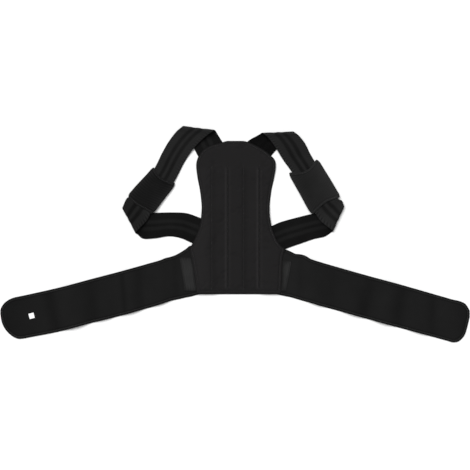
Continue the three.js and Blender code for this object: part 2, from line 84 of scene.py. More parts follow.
# %% Lay the floor and light it
FLOOR_HALF = 25
FLOOR_DEPTH = 0.0003  # keeps the floor clear of the cloth that lies on it
SUN_STRENGTH = 2.7
SUN_ANGLE = 40
SUN_FROM = (-0.32, 0.5, 1)  # from above, a little from the left and the top of the picture
WORLD_STRENGTH = 0.5
FLOOR_LOOKS = {"Base Color": (0.9, 0.9, 0.9, 1), "Roughness": 0.9, "Specular IOR Level": 0.1}


def set_inputs(node, values):
    """Join a node's inputs to other nodes, or set them."""
    for slot, value in values.items():
        if isinstance(value, bpy.types.NodeSocket):
            node.id_data.links.new(value, node.inputs[slot])
        else:
            node.inputs[slot].default_value = value


def new_material(name, looks):
    """A material and its shader, with the looks set on the shader's inputs."""
    material = bpy.data.materials.new(name)
    material.use_nodes = True
    shader = material.node_tree.nodes["Principled BSDF"]
    set_inputs(shader, looks)
    return material, shader


corners = [(x * FLOOR_HALF, y * FLOOR_HALF, -FLOOR_DEPTH) for x, y in ((-1, -1), (1, -1), (1, 1), (-1, 1))]
floor_mesh = bpy.data.meshes.new("floor")
floor_mesh.from_pydata(corners, [], [(0, 1, 2, 3)])
floor_mesh.materials.append(new_material("white table", FLOOR_LOOKS)[0])
floor = add_object("floor", floor_mesh)

sun_data = bpy.data.lights.new("sun", "SUN")
sun_data.energy = SUN_STRENGTH
sun_data.angle = math.radians(SUN_ANGLE)
sun = add_object("sun", sun_data)
sun.rotation_mode = "QUATERNION"
sun.rotation_quaternion = Vector(SUN_FROM).to_track_quat("Z", "Y")

world = bpy.data.worlds.new("studio")
world.use_nodes = True
set_inputs(world.node_tree.nodes["Background"], {"Color": (1, 1, 1, 1), "Strength": WORLD_STRENGTH})
bpy.context.scene.world = world
bpy.context.scene.view_settings.view_transform = "Standard"
print("Sun of strength", SUN_STRENGTH, "and", SUN_ANGLE, "degrees wide")

# %% [markdown]
# ## The finishes
#
# Every cloth here is black, and what tells one from another is its texture: a close knit on
# the pad, a brushed plush on the wings, ribs on the elastic, streaks on the satin tape. A
# picture of cloth could be wrapped round each piece, but patterns made by nodes stay sharp at
# any distance. Each mesh carries two facts for them at every point: `weave`, where the point
# lies on the flat cloth in metres, and a second one, how light the cloth is painted there, from
# 0 to 1. It holds the cloth's own tone and also painted light and shade: dark in a groove, pale
# on a raised ridge. The nodes read these by name.

# %% Small builders for node trees
THREAD_SCALE = math.pi / 10  # a wave texture of scale 1 repeats every 0.314 m


def add_node(tree, kind, values=(), **settings):
    """A new node with its settings, and with its inputs joined or set."""
    node = tree.nodes.new(kind)
    for name, setting in settings.items():
        setattr(node, name, setting)
    set_inputs(node, dict(values))
    return node


def reckon(tree, operation, first, second):
    return add_node(tree, "ShaderNodeMath", {0: first, 1: second}, operation=operation).outputs[0]


def swing(tree, value, amount):
    """A value from 0 to 1 as one to either side of 0, times an amount."""
    return reckon(tree, "MULTIPLY", reckon(tree, "SUBTRACT", value, 0.5), amount)


def blend(tree, first, amount, second, other):
    """Two values, each times its amount, added up."""
    parts = [reckon(tree, "MULTIPLY", *pair) for pair in ((first, amount), (second, other))]
    return reckon(tree, "ADD", *parts)


def threads(tree, place, direction, pitch, distortion=0.0):
    """Parallel ridges at a pitch in metres, from 0 to 1, across one direction of the cloth."""
    values = {"Vector": place, "Scale": THREAD_SCALE / pitch, "Distortion": distortion}
    node = add_node(tree, "ShaderNodeTexWave", values, bands_direction=direction)
    return node.outputs["Fac"]


def speckle(tree, place, size, detail=2.0):
    """Soft cloudy values from 0 to 1, about one cloud to each size in metres."""
    node = add_node(tree, "ShaderNodeTexNoise", {"Vector": place, "Scale": 1 / size, "Detail": detail})
    return node.outputs["Fac"]


def attribute(tree, name, output):
    return add_node(tree, "ShaderNodeAttribute", attribute_name=name).outputs[output]


print("A thread pitch of 1 mm needs a wave scale of", round(THREAD_SCALE / 0.001))

# %% A finish with its colour, relief and sheen
SHEEN_ROUGHNESS = 0.45
CLOUD_SIZE = 0.035
FIBRE_SIZE = 0.0012
FUZZ_SIZE = 0.0006
FUZZ_HEIGHT = 0.6  # as a share of the threads' height
LOOP_PITCH = 0.0013  # of the knit's loops
TUFT_PITCH = 0.0011  # of the plush's tufts


def grey(level, tint):
    """A linear grey with a faint tint of plum."""
    return (level * (1 + tint), level * (1 - tint), level, 1)


def cloth_finish(
    name, dark, light, pattern, relief, patches=0.3, lint=0.2, rough=0.9, specular=0.12, sheen=0.1, tint=0.0
):
    """A cloth from a function that draws its threads. dark and light are levels of grey, relief is
    the threads' height in metres, and patches and lint say how much the colour drifts; lint also
    sets the painted light that makes raised threads paler."""
    looks = {"Roughness": rough, "Specular IOR Level": specular, "Sheen Weight": sheen}
    finish, shader = new_material(name, {**looks, "Sheen Roughness": SHEEN_ROUGHNESS})
    tree = finish.node_tree
    place = attribute(tree, "weave", "Vector")
    height = pattern(tree, place)
    clouds = swing(tree, speckle(tree, place, CLOUD_SIZE), patches)
    fibres = swing(tree, speckle(tree, place, FIBRE_SIZE, 4), lint)
    # The threads' height is added as painted light: raised threads come out paler.
    drift = reckon(tree, "ADD", reckon(tree, "ADD", clouds, fibres), swing(tree, height, lint))
    # The mesh's per-point lightness holds painted light and shade as well as the cloth's own tone.
    share = reckon(tree, "ADD", attribute(tree, "tone_and_painted_light", "Fac"), drift)
    ramp = add_node(tree, "ShaderNodeMapRange", {"Value": share}, clamp=True)
    colours = {"Factor": ramp.outputs["Result"], "A": grey(dark, tint), "B": grey(light, tint)}
    colour = add_node(tree, "ShaderNodeMix", colours, data_type="RGBA")
    dullness = {"Value": fibres, "From Min": -0.2, "From Max": 0.2, "To Min": rough - 0.12, "To Max": 1.0}
    fuzz = reckon(tree, "MULTIPLY", speckle(tree, place, FUZZ_SIZE), FUZZ_HEIGHT)
    bumps = {"Height": reckon(tree, "ADD", height, fuzz), "Distance": relief, "Strength": 0.8}
    joined = {
        "Base Color": colour.outputs["Result"],
        "Roughness": add_node(tree, "ShaderNodeMapRange", dullness).outputs["Result"],
        "Normal": add_node(tree, "ShaderNodeBump", bumps).outputs["Normal"],
    }
    set_inputs(shader, joined)
    return finish


def crossed(tree, place, pitch, operation):
    """Two sets of threads, one across the other."""
    first, second = (threads(tree, place, direction, pitch) for direction in "XY")
    return reckon(tree, operation, first, second)


def knit(tree, place):
    """Small staggered loops: two sets of slanting threads that cross."""
    turned = add_node(tree, "ShaderNodeVectorRotate", {"Vector": place, "Angle": math.radians(45)})
    return crossed(tree, turned.outputs[0], LOOP_PITCH, "MULTIPLY")


def plush(tree, place):
    """Brushed loops that stand up in no clear order."""
    tufts = {"Vector": place, "Scale": 1 / TUFT_PITCH}
    return add_node(tree, "ShaderNodeTexVoronoi", tufts, feature="SMOOTH_F1").outputs["Distance"]


def satin(tree, place):
    """Long floating threads with fine gaps between them."""
    long_threads = threads(tree, place, "X", 0.0009, 1.5)
    stretched = add_node(tree, "ShaderNodeMapping", {"Vector": place, "Scale": (1, 0.06, 1)})
    return blend(tree, long_threads, 0.4, speckle(tree, stretched.outputs[0], 0.0016, 3), 0.8)


def elastic(tree, place):
    """Cross ribs over rubber cords, with fine threads along them."""
    return blend(tree, threads(tree, place, "Y", 0.0016, 0.4), 0.7, threads(tree, place, "X", 0.0014), 0.3)


def plain_weave(tree, place):
    return crossed(tree, place, 0.0007, "MAXIMUM")


PAD_CLOTH = cloth_finish("padded knit", 0.004, 0.0168, knit, 0.0002, 0.1, tint=0.03)
WING_CLOTH = cloth_finish("belt plush", 0.002, 0.0098, plush, 0.0003, sheen=0.04)
TAPE_CLOTH = cloth_finish("satin tape", 0.002, 0.0215, satin, 0.0002, 0.4, 0.9, 0.6, 0.15, 0.03)
WEBBING = cloth_finish("ribbed webbing", 0.0005, 0.018, elastic, 0.0003, 0.2, 0.3, 0.9, 0.06, 0.03)
SLEEVE_KNIT = cloth_finish("sleeve knit", 0.001, 0.018, knit, 0.0002, 0.3, 0.3, 0.9, 0.08, 0.04)
PAD_BINDING = cloth_finish("pad binding", 0.001, 0.0118, plain_weave, 0.0001, 0.2, sheen=0.02, tint=0.03)
BINDING = cloth_finish("belt binding", 0.0005, 0.0125, plain_weave, 0.0001, 0.3, 0.2, 0.9, 0.05, 0.0)
THREAD = cloth_finish("sewing thread", 0.008, 0.026, plain_weave, 0.0001, sheen=0.2)
LABEL_CLOTH = cloth_finish("bare label", 0.72, 0.93, plain_weave, 0.00008, 0.1, 0.1, 0.8, 0.2)
print("Finishes:", ", ".join(finish.name for finish in bpy.data.materials if finish.users < 2))

# %% [markdown]
# ## Reading a shape from a short table
#
# The outlines here are soft curves: a dome, a waist, a round wing end. Each could be drawn by
# hand as a Bezier curve. A short table with a smooth curve through its rows does the same and
# keeps the numbers in sight, and any number of points can be read from it, so that one table
# serves the cloth, its bound edge and its stitches alike.

# %% Table reader and mesh builders


def hermite(share, start, end, leave, arrive):
    """A smooth curve from start to end, with the slopes that it leaves and arrives with."""
    square, cube = share**2, share**3
    first = (2 * cube - 3 * square + 1) * start + (cube - 2 * square + share) * leave
    return first + (3 * square - 2 * cube) * end + (cube - square) * arrive


def read_table(table, column, places):
    """Smooth values of a table's column at places along its first one."""
    rows = np.array(table, float)
    keys, values = rows[:, 0], rows[:, column]
    places = np.clip(np.asarray(places, float), keys[0], keys[-1])
    after = np.clip(np.searchsorted(keys, places), 1, len(keys) - 1)
    before = after - 1
    first, last = np.maximum(before - 1, 0), np.minimum(after + 1, len(keys) - 1)
    span = keys[after] - keys[before]
    share = (places - keys[before]) / span
    slope_in = (values[after] - values[first]) / (keys[after] - keys[first]) * span
    slope_out = (values[last] - values[before]) / (keys[last] - keys[before]) * span
    return hermite(share, values[before], values[after], slope_in, slope_out)


def places_along(table, step):
    """The places of a table's rows, with more of them between where they lie far apart."""
    keys = [row[0] for row in table]
    places = [keys[0]]
    for start, end in zip(keys, keys[1:]):
        parts = math.ceil((end - start) / step)
        places.extend(start + (end - start) * part / parts for part in range(1, parts + 1))
    return np.array(places)


def ease(value, low, high):
    """From 0 at low to 1 at high, without a corner at either."""
    share = np.clip((value - low) / (high - low), 0, 1)
    return share * share * (3 - 2 * share)


def hump(value, middle, width):
    """1 at middle, falling away softly on both sides."""
    return np.exp(-(((value - middle) / width) ** 2))


def make_piece(name, points, faces, weave, tone_and_painted_light, finish, slot):
    """A smooth piece from points and groups of faces, with its two facts for the finish."""
    volume = 0.0
    for group in faces:
        for corner in range(1, group.shape[1] - 1):
            fan = np.cross(points[group[:, corner]], points[group[:, corner + 1]])
            volume += np.einsum("ij,ij->", points[group[:, 0]], fan)
    if volume < 0:
        faces = [group[:, ::-1] for group in faces]
    corners = [face for group in faces for face in group.tolist()]
    mesh = bpy.data.meshes.new(name)
    mesh.from_pydata(points.tolist(), [], corners)
    mesh.polygons.foreach_set("use_smooth", [True] * len(corners))
    mesh.attributes.new("weave", "FLOAT_VECTOR", "POINT").data.foreach_set("vector", weave.ravel())
    mesh.attributes.new("tone_and_painted_light", "FLOAT", "POINT").data.foreach_set("value", tone_and_painted_light.ravel())
    mesh.materials.append(finish)
    piece = add_object(name, mesh)
    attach(piece, "root")
    print(name, "has", len(points), "points and", len(corners), "faces")
    return piece


def grid_faces(number):
    """Four-cornered faces between neighbours in a grid of point numbers."""
    return np.stack([number[:-1, :-1], number[:-1, 1:], number[1:, 1:], number[1:, :-1]], -1).reshape(-1, 4)


def flat_facts(weave, tone_and_painted_light, shape, layer=0.0):
    """The two facts of a finish for a grid of points, spread over it where they are the same."""
    flat = np.broadcast_to(weave, (*shape, 2)).reshape(-1, 2)
    tone_and_shade = np.broadcast_to(tone_and_painted_light, shape).reshape(-1)
    return np.column_stack([flat, np.full(len(flat), layer)]), tone_and_shade


def make_wall(name, upper, lower, weave, tone_and_painted_light, under_tone_and_painted_light, finish, slot):
    """A closed wall of cloth between two grids of points."""
    shape = upper.shape[:2]
    count = shape[0] * shape[1]
    number = np.arange(count).reshape(shape)
    rim = np.concatenate([number[0, :-1], number[:-1, -1], number[-1, :0:-1], number[:0:-1, 0]])
    after = np.roll(rim, -1)
    sides = np.stack([rim, rim + count, after + count, after], 1)
    faces = np.concatenate([grid_faces(number), grid_faces(number)[:, ::-1] + count, sides])
    points = np.concatenate([upper.reshape(-1, 3), lower.reshape(-1, 3)])
    above, below = flat_facts(weave, tone_and_painted_light, shape), flat_facts(weave, under_tone_and_painted_light, shape, 1.0)
    facts = [np.concatenate(pair) for pair in zip(above, below)]
    return make_piece(name, points, [faces], *facts, finish, slot)


def make_tube(name, rings, weave, tone_and_painted_light, finish, slot, joined=False):
    """A closed skin from rings of points. joined makes the last ring meet the first."""
    shape = rings.shape[:2]
    count, around = shape
    number = np.arange(count * around).reshape(shape)
    number = np.concatenate([number, number[:, :1]], 1)
    flat, tone_and_shade = flat_facts(weave, tone_and_painted_light, shape)
    if joined:
        number = np.concatenate([number, number[:1]])
        return make_piece(name, rings.reshape(-1, 3), [grid_faces(number)], flat, tone_and_shade, finish, slot)
    first, last = count * around, count * around + 1
    head, foot = number[0], number[-1]
    start = np.stack([np.full(around, first), head[1:], head[:-1]], 1)
    end = np.stack([np.full(around, last), foot[:-1], foot[1:]], 1)
    points = np.concatenate([rings.reshape(-1, 3), [rings[0].mean(0), rings[-1].mean(0)]])
    flat = np.concatenate([flat, flat[:1], flat[-1:]])
    tone_and_shade = np.concatenate([tone_and_shade, tone_and_shade[:1], tone_and_shade[-1:]])
    faces = [grid_faces(number), np.concatenate([start, end])]
    return make_piece(name, points, faces, flat, tone_and_shade, finish, slot)


print("Half way from 2 to 4,", read_table([(0, 2), (1, 4)], 1, [0.5])[0])

# %% [markdown]
# ## Edges and stitches that every cloth shares
#
# All the flat cloths are edged with a folded tape, and sewn with a thread that shows as short
# bars. The tape could be a bevelled curve, but that can't lie flat on both faces of a cloth.
# So one section, a narrow C, is carried along the edge line, and lies at each point as high
# as the cloth does there. The stitches are one short rounded bar, repeated at an even pitch
# along a line, because at this size a thread's plies can't be told apart.

# %% Lines along an edge
MM = 0.001
EDGE_STEP = 0.0015
RIM_INSET = 0.0006  # how far inside its edge line a cloth ends
GROUP_SIZE = 2000  # how many points are compared with an edge line at one time


def unit(vectors):
    """The same ways, each of length 1."""
    return vectors / np.linalg.norm(vectors, axis=-1, keepdims=True)


def on_cloth(place, over, lift):
    """Points in plan, lifted from a cloth's face."""
    return np.column_stack([place, over(*place.T) + lift])


def lengths_along(line):
    return np.concatenate([[0], np.cumsum(np.linalg.norm(np.diff(line, axis=0), axis=1))])


def read_line(line, lengths, places):
    """Points of a line at places along it, from the lengths at which its own points lie."""
    return np.column_stack([np.interp(places, lengths, axis) for axis in line.T])


def resample(line, step=EDGE_STEP):
    """Points at an even step along a line."""
    lengths = lengths_along(line)
    return read_line(line, lengths, np.linspace(0, lengths[-1], max(2, round(lengths[-1] / step)) + 1))


def way_in(line, hand, closed=False):
    """Unit vectors square to a line, to its left where hand is 1 and to its right at -1."""
    ways = unit(np.roll(line, -1, 0) - np.roll(line, 1, 0) if closed else np.gradient(line, axis=0))
    return hand * np.column_stack([-ways[:, 1], ways[:, 0]])


def from_edge(points, line, inward):
    """How far in from an edge line each point lies, and which way is in there."""
    depth, way = [], []
    for part in np.array_split(points, max(1, len(points) // GROUP_SIZE)):
        apart = part[:, None] - line[None]
        nearest = (apart**2).sum(-1).argmin(1)
        away = apart[np.arange(len(part)), nearest]
        depth.append(np.einsum("ij,ij->i", away, inward[nearest]))
        way.append(inward[nearest])
    return np.concatenate(depth), np.concatenate(way)


def kept_inside(x, y, line, inward):
    """A grid in plan with its rim moved inside an edge line, and how far in each point lies."""
    flat = np.column_stack([x.ravel(), y.ravel()])
    depth, way = from_edge(flat, line, inward)
    flat = flat + way * np.clip(RIM_INSET - depth, 0, None)[:, None]
    x, y = flat.reshape(*x.shape, 2).transpose(2, 0, 1)
    return x, y, np.maximum(depth, RIM_INSET).reshape(x.shape)


print("Edge lines have a point every", EDGE_STEP / MM, "mm")

# %% The folded edge tape
EDGE_TAPE = 5.5 * MM
GRIPPED_LOW = 0.5 * MM  # what the tape takes beneath the cloth
GRIPPED_HIGH = 2.1 * MM
GRIP_ENDS, SWELLS_OVER = 0.85, 1.1  # where the cloth starts to swell and over how much, in tape widths
LIFT_ENDS = 0.75

# The tape's section: in from the edge as a share of its width, in millimetres, and up in
# millimetres, first over the outer face from the inner side and then back along the inner face
TAPE_SECTION = [
    (1, 0, 2.15), (1, -0.15, 2.6), (0.8, 0, 2.78), (0.6, 0, 2.7), (0.4, 0, 2.78), (0, 1.2, 2.55),
    (0, 0.4, 2.05), (0, 0, 1.3), (0, 0.4, 0.5), (0, 1.2, 0.08), (0.8, 0, 0.03), (0.8, 0, 0.4),
    (0, 1.4, 0.5), (0, 0.6, 0.9), (0, 0.5, 1.3), (0, 0.6, 1.7), (0, 1.4, 2.1), (0.6, 0, 2.2),
]  # fmt: skip
# Painted light and shade round the section: the raised top paler, the outer side dark.
TAPE_PAINTED_LIGHT = [0.1, 0.6, 0.85, 0.65, 0.75, 0.25, 0.05, 0.05, 0.05, 0.2] + [0.1] * 8  # how light each point is
OUTER_SIDE = slice(5, 9)  # the section's points on the edge itself


def bind_edge(name, line, inward, widths, under, finish, slot, closed=False, outer_side_painted_light=0.0):
    """Edge tape along a line, as high as the cloth lies there, with painted light and shade round its
    section. The last argument lifts the painted shade on the outer side to at least that much
    light, all along or at each point."""
    rings = []
    for share, extra, height in TAPE_SECTION:
        place = line + inward * (widths * share + extra * MM)[:, None]
        rings.append(on_cloth(place, under, height * MM))
    along = np.arange(len(line)) * EDGE_STEP
    around = np.arange(len(TAPE_SECTION)) * 0.8 * MM
    weave = np.stack(np.meshgrid(around, along), -1)
    tone_and_painted_light = np.tile(TAPE_PAINTED_LIGHT, (len(line), 1))
    tone_and_painted_light[:, OUTER_SIDE] = np.maximum(tone_and_painted_light[:, OUTER_SIDE], np.reshape(outer_side_painted_light, (-1, 1)))
    return make_tube(name, np.stack(rings, 1), weave, tone_and_painted_light, finish, slot, closed)


def bound_thickness(depth, full, widths=EDGE_TAPE):
    """The cloth's thickness from its gripped edge to where it is full again."""
    free = np.clip((depth - GRIP_ENDS * widths) / (SWELLS_OVER * widths), 0, 1)
    return GRIPPED_HIGH + (full - GRIPPED_HIGH) * np.sqrt(free * (2 - free))


def lifted_under(depth, widths=EDGE_TAPE):
    return GRIPPED_LOW * (1 - ease(depth, LIFT_ENDS * widths, widths))


print("The edge tape shows", EDGE_TAPE / MM, "mm wide")

# %% Stitches along lines
STITCH_PITCH = 3.6 * MM
STITCH_LENGTH = 2.7 * MM
STITCH_RADIUS = 0.3 * MM
STITCH_SIDES = 6
# Along the stitch as a share of its length, and thickness and rise as shares of its radius
STITCH_RINGS = [(-0.5, 0.35, -0.9), (-0.38, 0.85, -0.1), (0, 1, 0.2), (0.38, 0.85, -0.1), (0.5, 0.35, -0.9)]
STITCH_NAP = 0.55


def make_stitches(name, lines, slot, ups=None):
    """One piece of all the stitches along several lines. ups has a line's outward way each."""
    ends = [resample(line, STITCH_PITCH) for line in lines]
    middles = np.concatenate([(line[:-1] + line[1:]) / 2 for line in ends])
    ways = unit(np.concatenate([np.diff(line, axis=0) for line in ends]))
    ups = ups or [(0, 0, 1)] * len(lines)
    up = np.concatenate([np.tile(up, (len(line) - 1, 1)) for up, line in zip(ups, ends)])
    side = unit(np.cross(up, ways))
    up = np.cross(ways, side)
    rings = []
    for along, thick, rise in STITCH_RINGS:
        middle = middles + ways * along * STITCH_LENGTH + up * rise * STITCH_RADIUS
        radius = STITCH_RADIUS * thick
        for angle in np.arange(STITCH_SIDES) * 2 * math.pi / STITCH_SIDES:
            rings.append(middle + side * radius * math.cos(angle) + up * radius * math.sin(angle))
    each = len(STITCH_RINGS) * STITCH_SIDES
    points = np.stack(rings, 1).reshape(-1, 3)
    number = np.arange(each).reshape(len(STITCH_RINGS), STITCH_SIDES)
    skin = grid_faces(np.concatenate([number, number[:, :1]], 1))
    starts = np.arange(len(middles))[:, None, None] * each
    faces = (skin[None] + starts).reshape(-1, 4)
    caps = (np.stack([number[0, ::-1], number[-1]])[None] + starts).reshape(-1, STITCH_SIDES)
    weave = np.column_stack([points[:, :2] * 3, np.zeros(len(points))])
    return make_piece(name, points, [faces, caps], weave, np.full(len(points), STITCH_NAP), THREAD, slot)


print("A stitch is", STITCH_LENGTH / MM, "mm long")

# %% [markdown]
# ## The back panel
#
# The panel is foam between two knit faces, with two sewn channels that hold flat stays. Its
# outline rises from a flared foot over a waist to a dome. Where a pad is sewn through, the
# cloth puckers: it is a little too long for the line that holds it. That is hard to draw by
# hand and easy to simulate. A thin sheet is pinned along the edge and the four seams, let out
# by a few per cent and pressed from beneath, and the small waves that it finds are added to
# the drawn height of the pad.

# %% The panel's outline
PANEL_HEIGHT = 0.307
PANEL_WIDTH = 0.159
PANEL_THICKNESS = 0.0045
PANEL_MIDDLE = 0.001
PANEL_FOOT = -0.1195
PANEL_TOP = PANEL_FOOT + PANEL_HEIGHT
STRAP_THICKNESS = 0.002
WING_THICKNESS = 0.003
LAYER_GAP = 0.0004
HEM_HEIGHT = 0.0086

# Down from the top of the dome as a share of the height, and the half widths to the left and
# right of the middle as shares of the width
PANEL_ROWS = [
    (0.001, 0.101, 0.101), (0.005, 0.138, 0.138), (0.012, 0.18, 0.175), (0.029, 0.305, 0.25),
    (0.053, 0.395, 0.335), (0.074, 0.435, 0.394), (0.094, 0.457, 0.44), (0.123, 0.483, 0.492),
    (0.162, 0.495, 0.507), (0.24, 0.479, 0.487), (0.318, 0.45, 0.455), (0.396, 0.431, 0.435),
    (0.435, 0.426, 0.429), (0.474, 0.43, 0.43), (0.51, 0.436, 0.438), (0.569, 0.46, 0.46),
    (0.621, 0.499, 0.498), (0.653, 0.528, 0.528), (0.689, 0.563, 0.582), (0.704, 0.578, 0.625),
    (0.725, 0.57, 0.61), (0.757, 0.551, 0.592), (0.842, 0.522, 0.582), (0.907, 0.503, 0.576),
    (0.985, 0.486, 0.569), (0.996, 0.483, 0.567), (1, 0.48, 0.566),
]  # fmt: skip


def panel_down(y):
    """Down from the top of the dome, as a share of the panel's height."""
    return (PANEL_TOP - y) / PANEL_HEIGHT


def panel_reach(down, side):
    """How far the panel reaches to its left, side 1, or its right, side 2."""
    return PANEL_WIDTH * read_table(PANEL_ROWS, side, down)


def panel_edge_line():
    downs = places_along(PANEL_ROWS, 0.004)
    y = PANEL_TOP - PANEL_HEIGHT * downs
    left = np.column_stack([PANEL_MIDDLE - panel_reach(downs, 1), y])
    right = np.column_stack([PANEL_MIDDLE + panel_reach(downs, 2), y])
    loop = np.concatenate([left[::-1], right, left[-1:]])
    return resample(loop)[:-1]


def panel_depth(x, y):
    """How far in from the panel's edge each point of a grid lies."""
    points = np.column_stack([np.ravel(x), np.ravel(y)])
    return from_edge(points, panel_line, panel_inward)[0].reshape(np.shape(x))


panel_line = panel_edge_line()
panel_inward = way_in(panel_line, -1, closed=True)
print("The panel's edge is", round(len(panel_line) * EDGE_STEP, 3), "m long")

# %% How high the panel lies, and how thick it is
DOME_CARRIED, DOME_DOWN = 0.165, 0.3
SIDE_DOWN, SIDE_CARRIED = 0.38, 0.46
CARRIED_REACH, CARRIED_SLOPE = 0.026, 0.022
CHANNEL_WIDTH = 0.032
CHANNEL_SPACING = 0.063
CHANNEL_RISE = 0.0016
CHANNEL_TOP, CHANNEL_FULL = 0.16, 0.2
INNER_SEAM = (CHANNEL_SPACING - CHANNEL_WIDTH) / 2
OUTER_SEAM = (CHANNEL_SPACING + CHANNEL_WIDTH) / 2
CRISP_SEAMS = (-INNER_SEAM, OUTER_SEAM)  # sewn down hard, with a lip on either side
SOFT_SEAMS = (-OUTER_SEAM, INNER_SEAM)
SEAMS = (*SOFT_SEAMS, *CRISP_SEAMS)
HEM_STARTS, HEM_WIDENS = 0.012, 0.01


def panel_under(x, y):
    """The height of the panel's under face, where straps carry the dome and wings the sides."""
    down, beside = panel_down(y), x - PANEL_MIDDLE
    reach = np.where(beside < 0, panel_reach(down, 1), panel_reach(down, 2))
    inside = reach - np.abs(beside)
    dome = 1 - ease(down, DOME_CARRIED, DOME_DOWN)
    near = 1 - ease(inside, CARRIED_REACH, CARRIED_REACH + CARRIED_SLOPE)
    sides = ease(down, SIDE_DOWN, SIDE_CARRIED) * near
    return np.maximum(dome * (STRAP_THICKNESS + LAYER_GAP), sides * (WING_THICKNESS + LAYER_GAP))


def edge_width(y):
    """The tape is wider along the foot, where it is the hem."""
    foot = ease(PANEL_FOOT + HEM_STARTS - y, 0, HEM_WIDENS)
    return EDGE_TAPE + (HEM_HEIGHT - EDGE_TAPE) * foot


def seam_length(y):
    """1 along the channels, 0 above their tops and in the hem."""
    above_hem = ease(y - PANEL_FOOT, HEM_HEIGHT, HEM_HEIGHT + 0.006)
    return ease(panel_down(y), CHANNEL_TOP, CHANNEL_FULL) * above_hem


def seam_relief(beside, y):
    relief = np.zeros_like(beside)
    for seam in CRISP_SEAMS:
        apart = beside - seam
        lips = hump(np.abs(apart), 0.0026, 0.0012)
        relief += 0.00035 * lips - 0.001 * hump(apart, 0, 0.0009)
    for seam in SOFT_SEAMS:
        relief -= 0.0007 * hump(beside - seam, 0, 0.0019)
    return relief * seam_length(y)


def channel_crown(beside, y):
    across = (np.abs(beside) - CHANNEL_SPACING / 2) / (CHANNEL_WIDTH / 2)
    return np.sqrt(np.clip(1 - across * across, 0, 1)) * seam_length(y)


def pad_height(x, y, depth):
    """How thick the pad is at a point that lies a depth in from its edge."""
    beside = x - PANEL_MIDDLE
    height = bound_thickness(depth, PANEL_THICKNESS, edge_width(y))
    return height + CHANNEL_RISE * channel_crown(beside, y) + seam_relief(beside, y)


print("Seams at", [round(seam / MM, 1) for seam in SEAMS], "mm from the middle")

# %% Let a pinned sheet pucker
CLOTH_CELL = 0.004
CLOTH_FRAMES = 20
LET_OUT = 0.05
PUCKER_LIMIT = 0.0006
SHEET_INSET = 0.002  # where the sheet ends, in from the pad's edge
PINNED_INSET = 0.008  # how far in its rim is pinned
SHEET_SETTINGS = {
    "quality": 6, "mass": 0.2, "tension_stiffness": 15, "compression_stiffness": 15,
    "bending_stiffness": 0.05, "vertex_group_mass": "pins", "shrink_min": -LET_OUT,
    "shrink_max": -LET_OUT, "use_pressure": True, "uniform_pressure_force": 1.5,
}  # fmt: skip


def cloth_columns():
    """Columns of the sheet, so that a column runs along each seam."""
    middle = np.linspace(-INNER_SEAM, INNER_SEAM, 9)
    channel = np.linspace(INNER_SEAM, OUTER_SEAM, 9)[1:]
    beyond = np.arange(OUTER_SEAM + CLOTH_CELL, 0.104, CLOTH_CELL)
    half = np.concatenate([channel, beyond])
    return np.concatenate([-half[::-1], middle, half])


def run_cloth(points, faces, pinned):
    """Where the points of a sheet come to lie, once it is let out and pressed from beneath."""
    mesh = bpy.data.meshes.new("pad face")
    mesh.from_pydata(points.tolist(), [], faces.tolist())
    sheet = add_object("pad face", mesh)
    pins = sheet.vertex_groups.new(name="pins")
    pins.add(np.flatnonzero(pinned).tolist(), 1.0, "REPLACE")
    cloth = sheet.modifiers.new("cloth", "CLOTH")
    for name, value in SHEET_SETTINGS.items():
        setattr(cloth.settings, name, value)
    cloth.settings.effector_weights.gravity = 0
    cloth.collision_settings.use_collision = False
    for number in range(1, CLOTH_FRAMES + 1):
        bpy.context.scene.frame_set(number)
    posed = sheet.evaluated_get(bpy.context.evaluated_depsgraph_get())
    moved = np.empty(len(points) * 3)
    posed.data.vertices.foreach_get("co", moved)
    bpy.data.objects.remove(sheet)
    bpy.context.scene.frame_set(1)
    return moved.reshape(-1, 3)


def pucker_grid():
    """Rises of the sheet over a grid of columns and rows, held within a limit."""
    columns = cloth_columns()
    rows = np.arange(PANEL_FOOT, PANEL_TOP + CLOTH_CELL, CLOTH_CELL)
    rises = np.zeros((len(rows), len(columns)))
    beside, y = np.meshgrid(columns, rows)
    x = beside + PANEL_MIDDLE
    depth = panel_depth(x, y)
    kept = depth > SHEET_INSET
    seams = np.min([np.abs(beside - seam) for seam in SEAMS], 0)
    pinned = (depth < PINNED_INSET) | ((seams < 0.0005) & (seam_length(y) > 0.1))
    number = np.cumsum(kept).reshape(x.shape) - 1
    squares = grid_faces(np.where(kept, number, -1))
    squares = squares[(squares >= 0).all(1)]
    start = np.random.default_rng(7).uniform(0, 0.0002, x.shape)
    points = np.column_stack([x[kept], y[kept], np.where(pinned, 0, start)[kept]])
    moved = run_cloth(points, squares, pinned[kept])
    rises[kept] = moved[:, 2]
    print("The sheet rose", round(rises.max() / MM, 2), "mm, and sank", round(-rises.min() / MM, 2), "mm")
    rises = np.where(pinned, 0, rises)
    return columns, rows, PUCKER_LIMIT * np.tanh(rises / PUCKER_LIMIT)


pucker_columns, pucker_rows, puckers = pucker_grid()
print("The puckers stand up to", round(puckers.max() / MM, 2), "mm high")

# %% Read the puckers between their points


def cubic_shares(part):
    """The weights of four neighbours in a smooth curve through the middle two."""
    return [
        (-part + 2 * part**2 - part**3) / 2,
        (2 - 5 * part**2 + 3 * part**3) / 2,
        (part + 4 * part**2 - 3 * part**3) / 2,
        (-(part**2) + part**3) / 2,
    ]


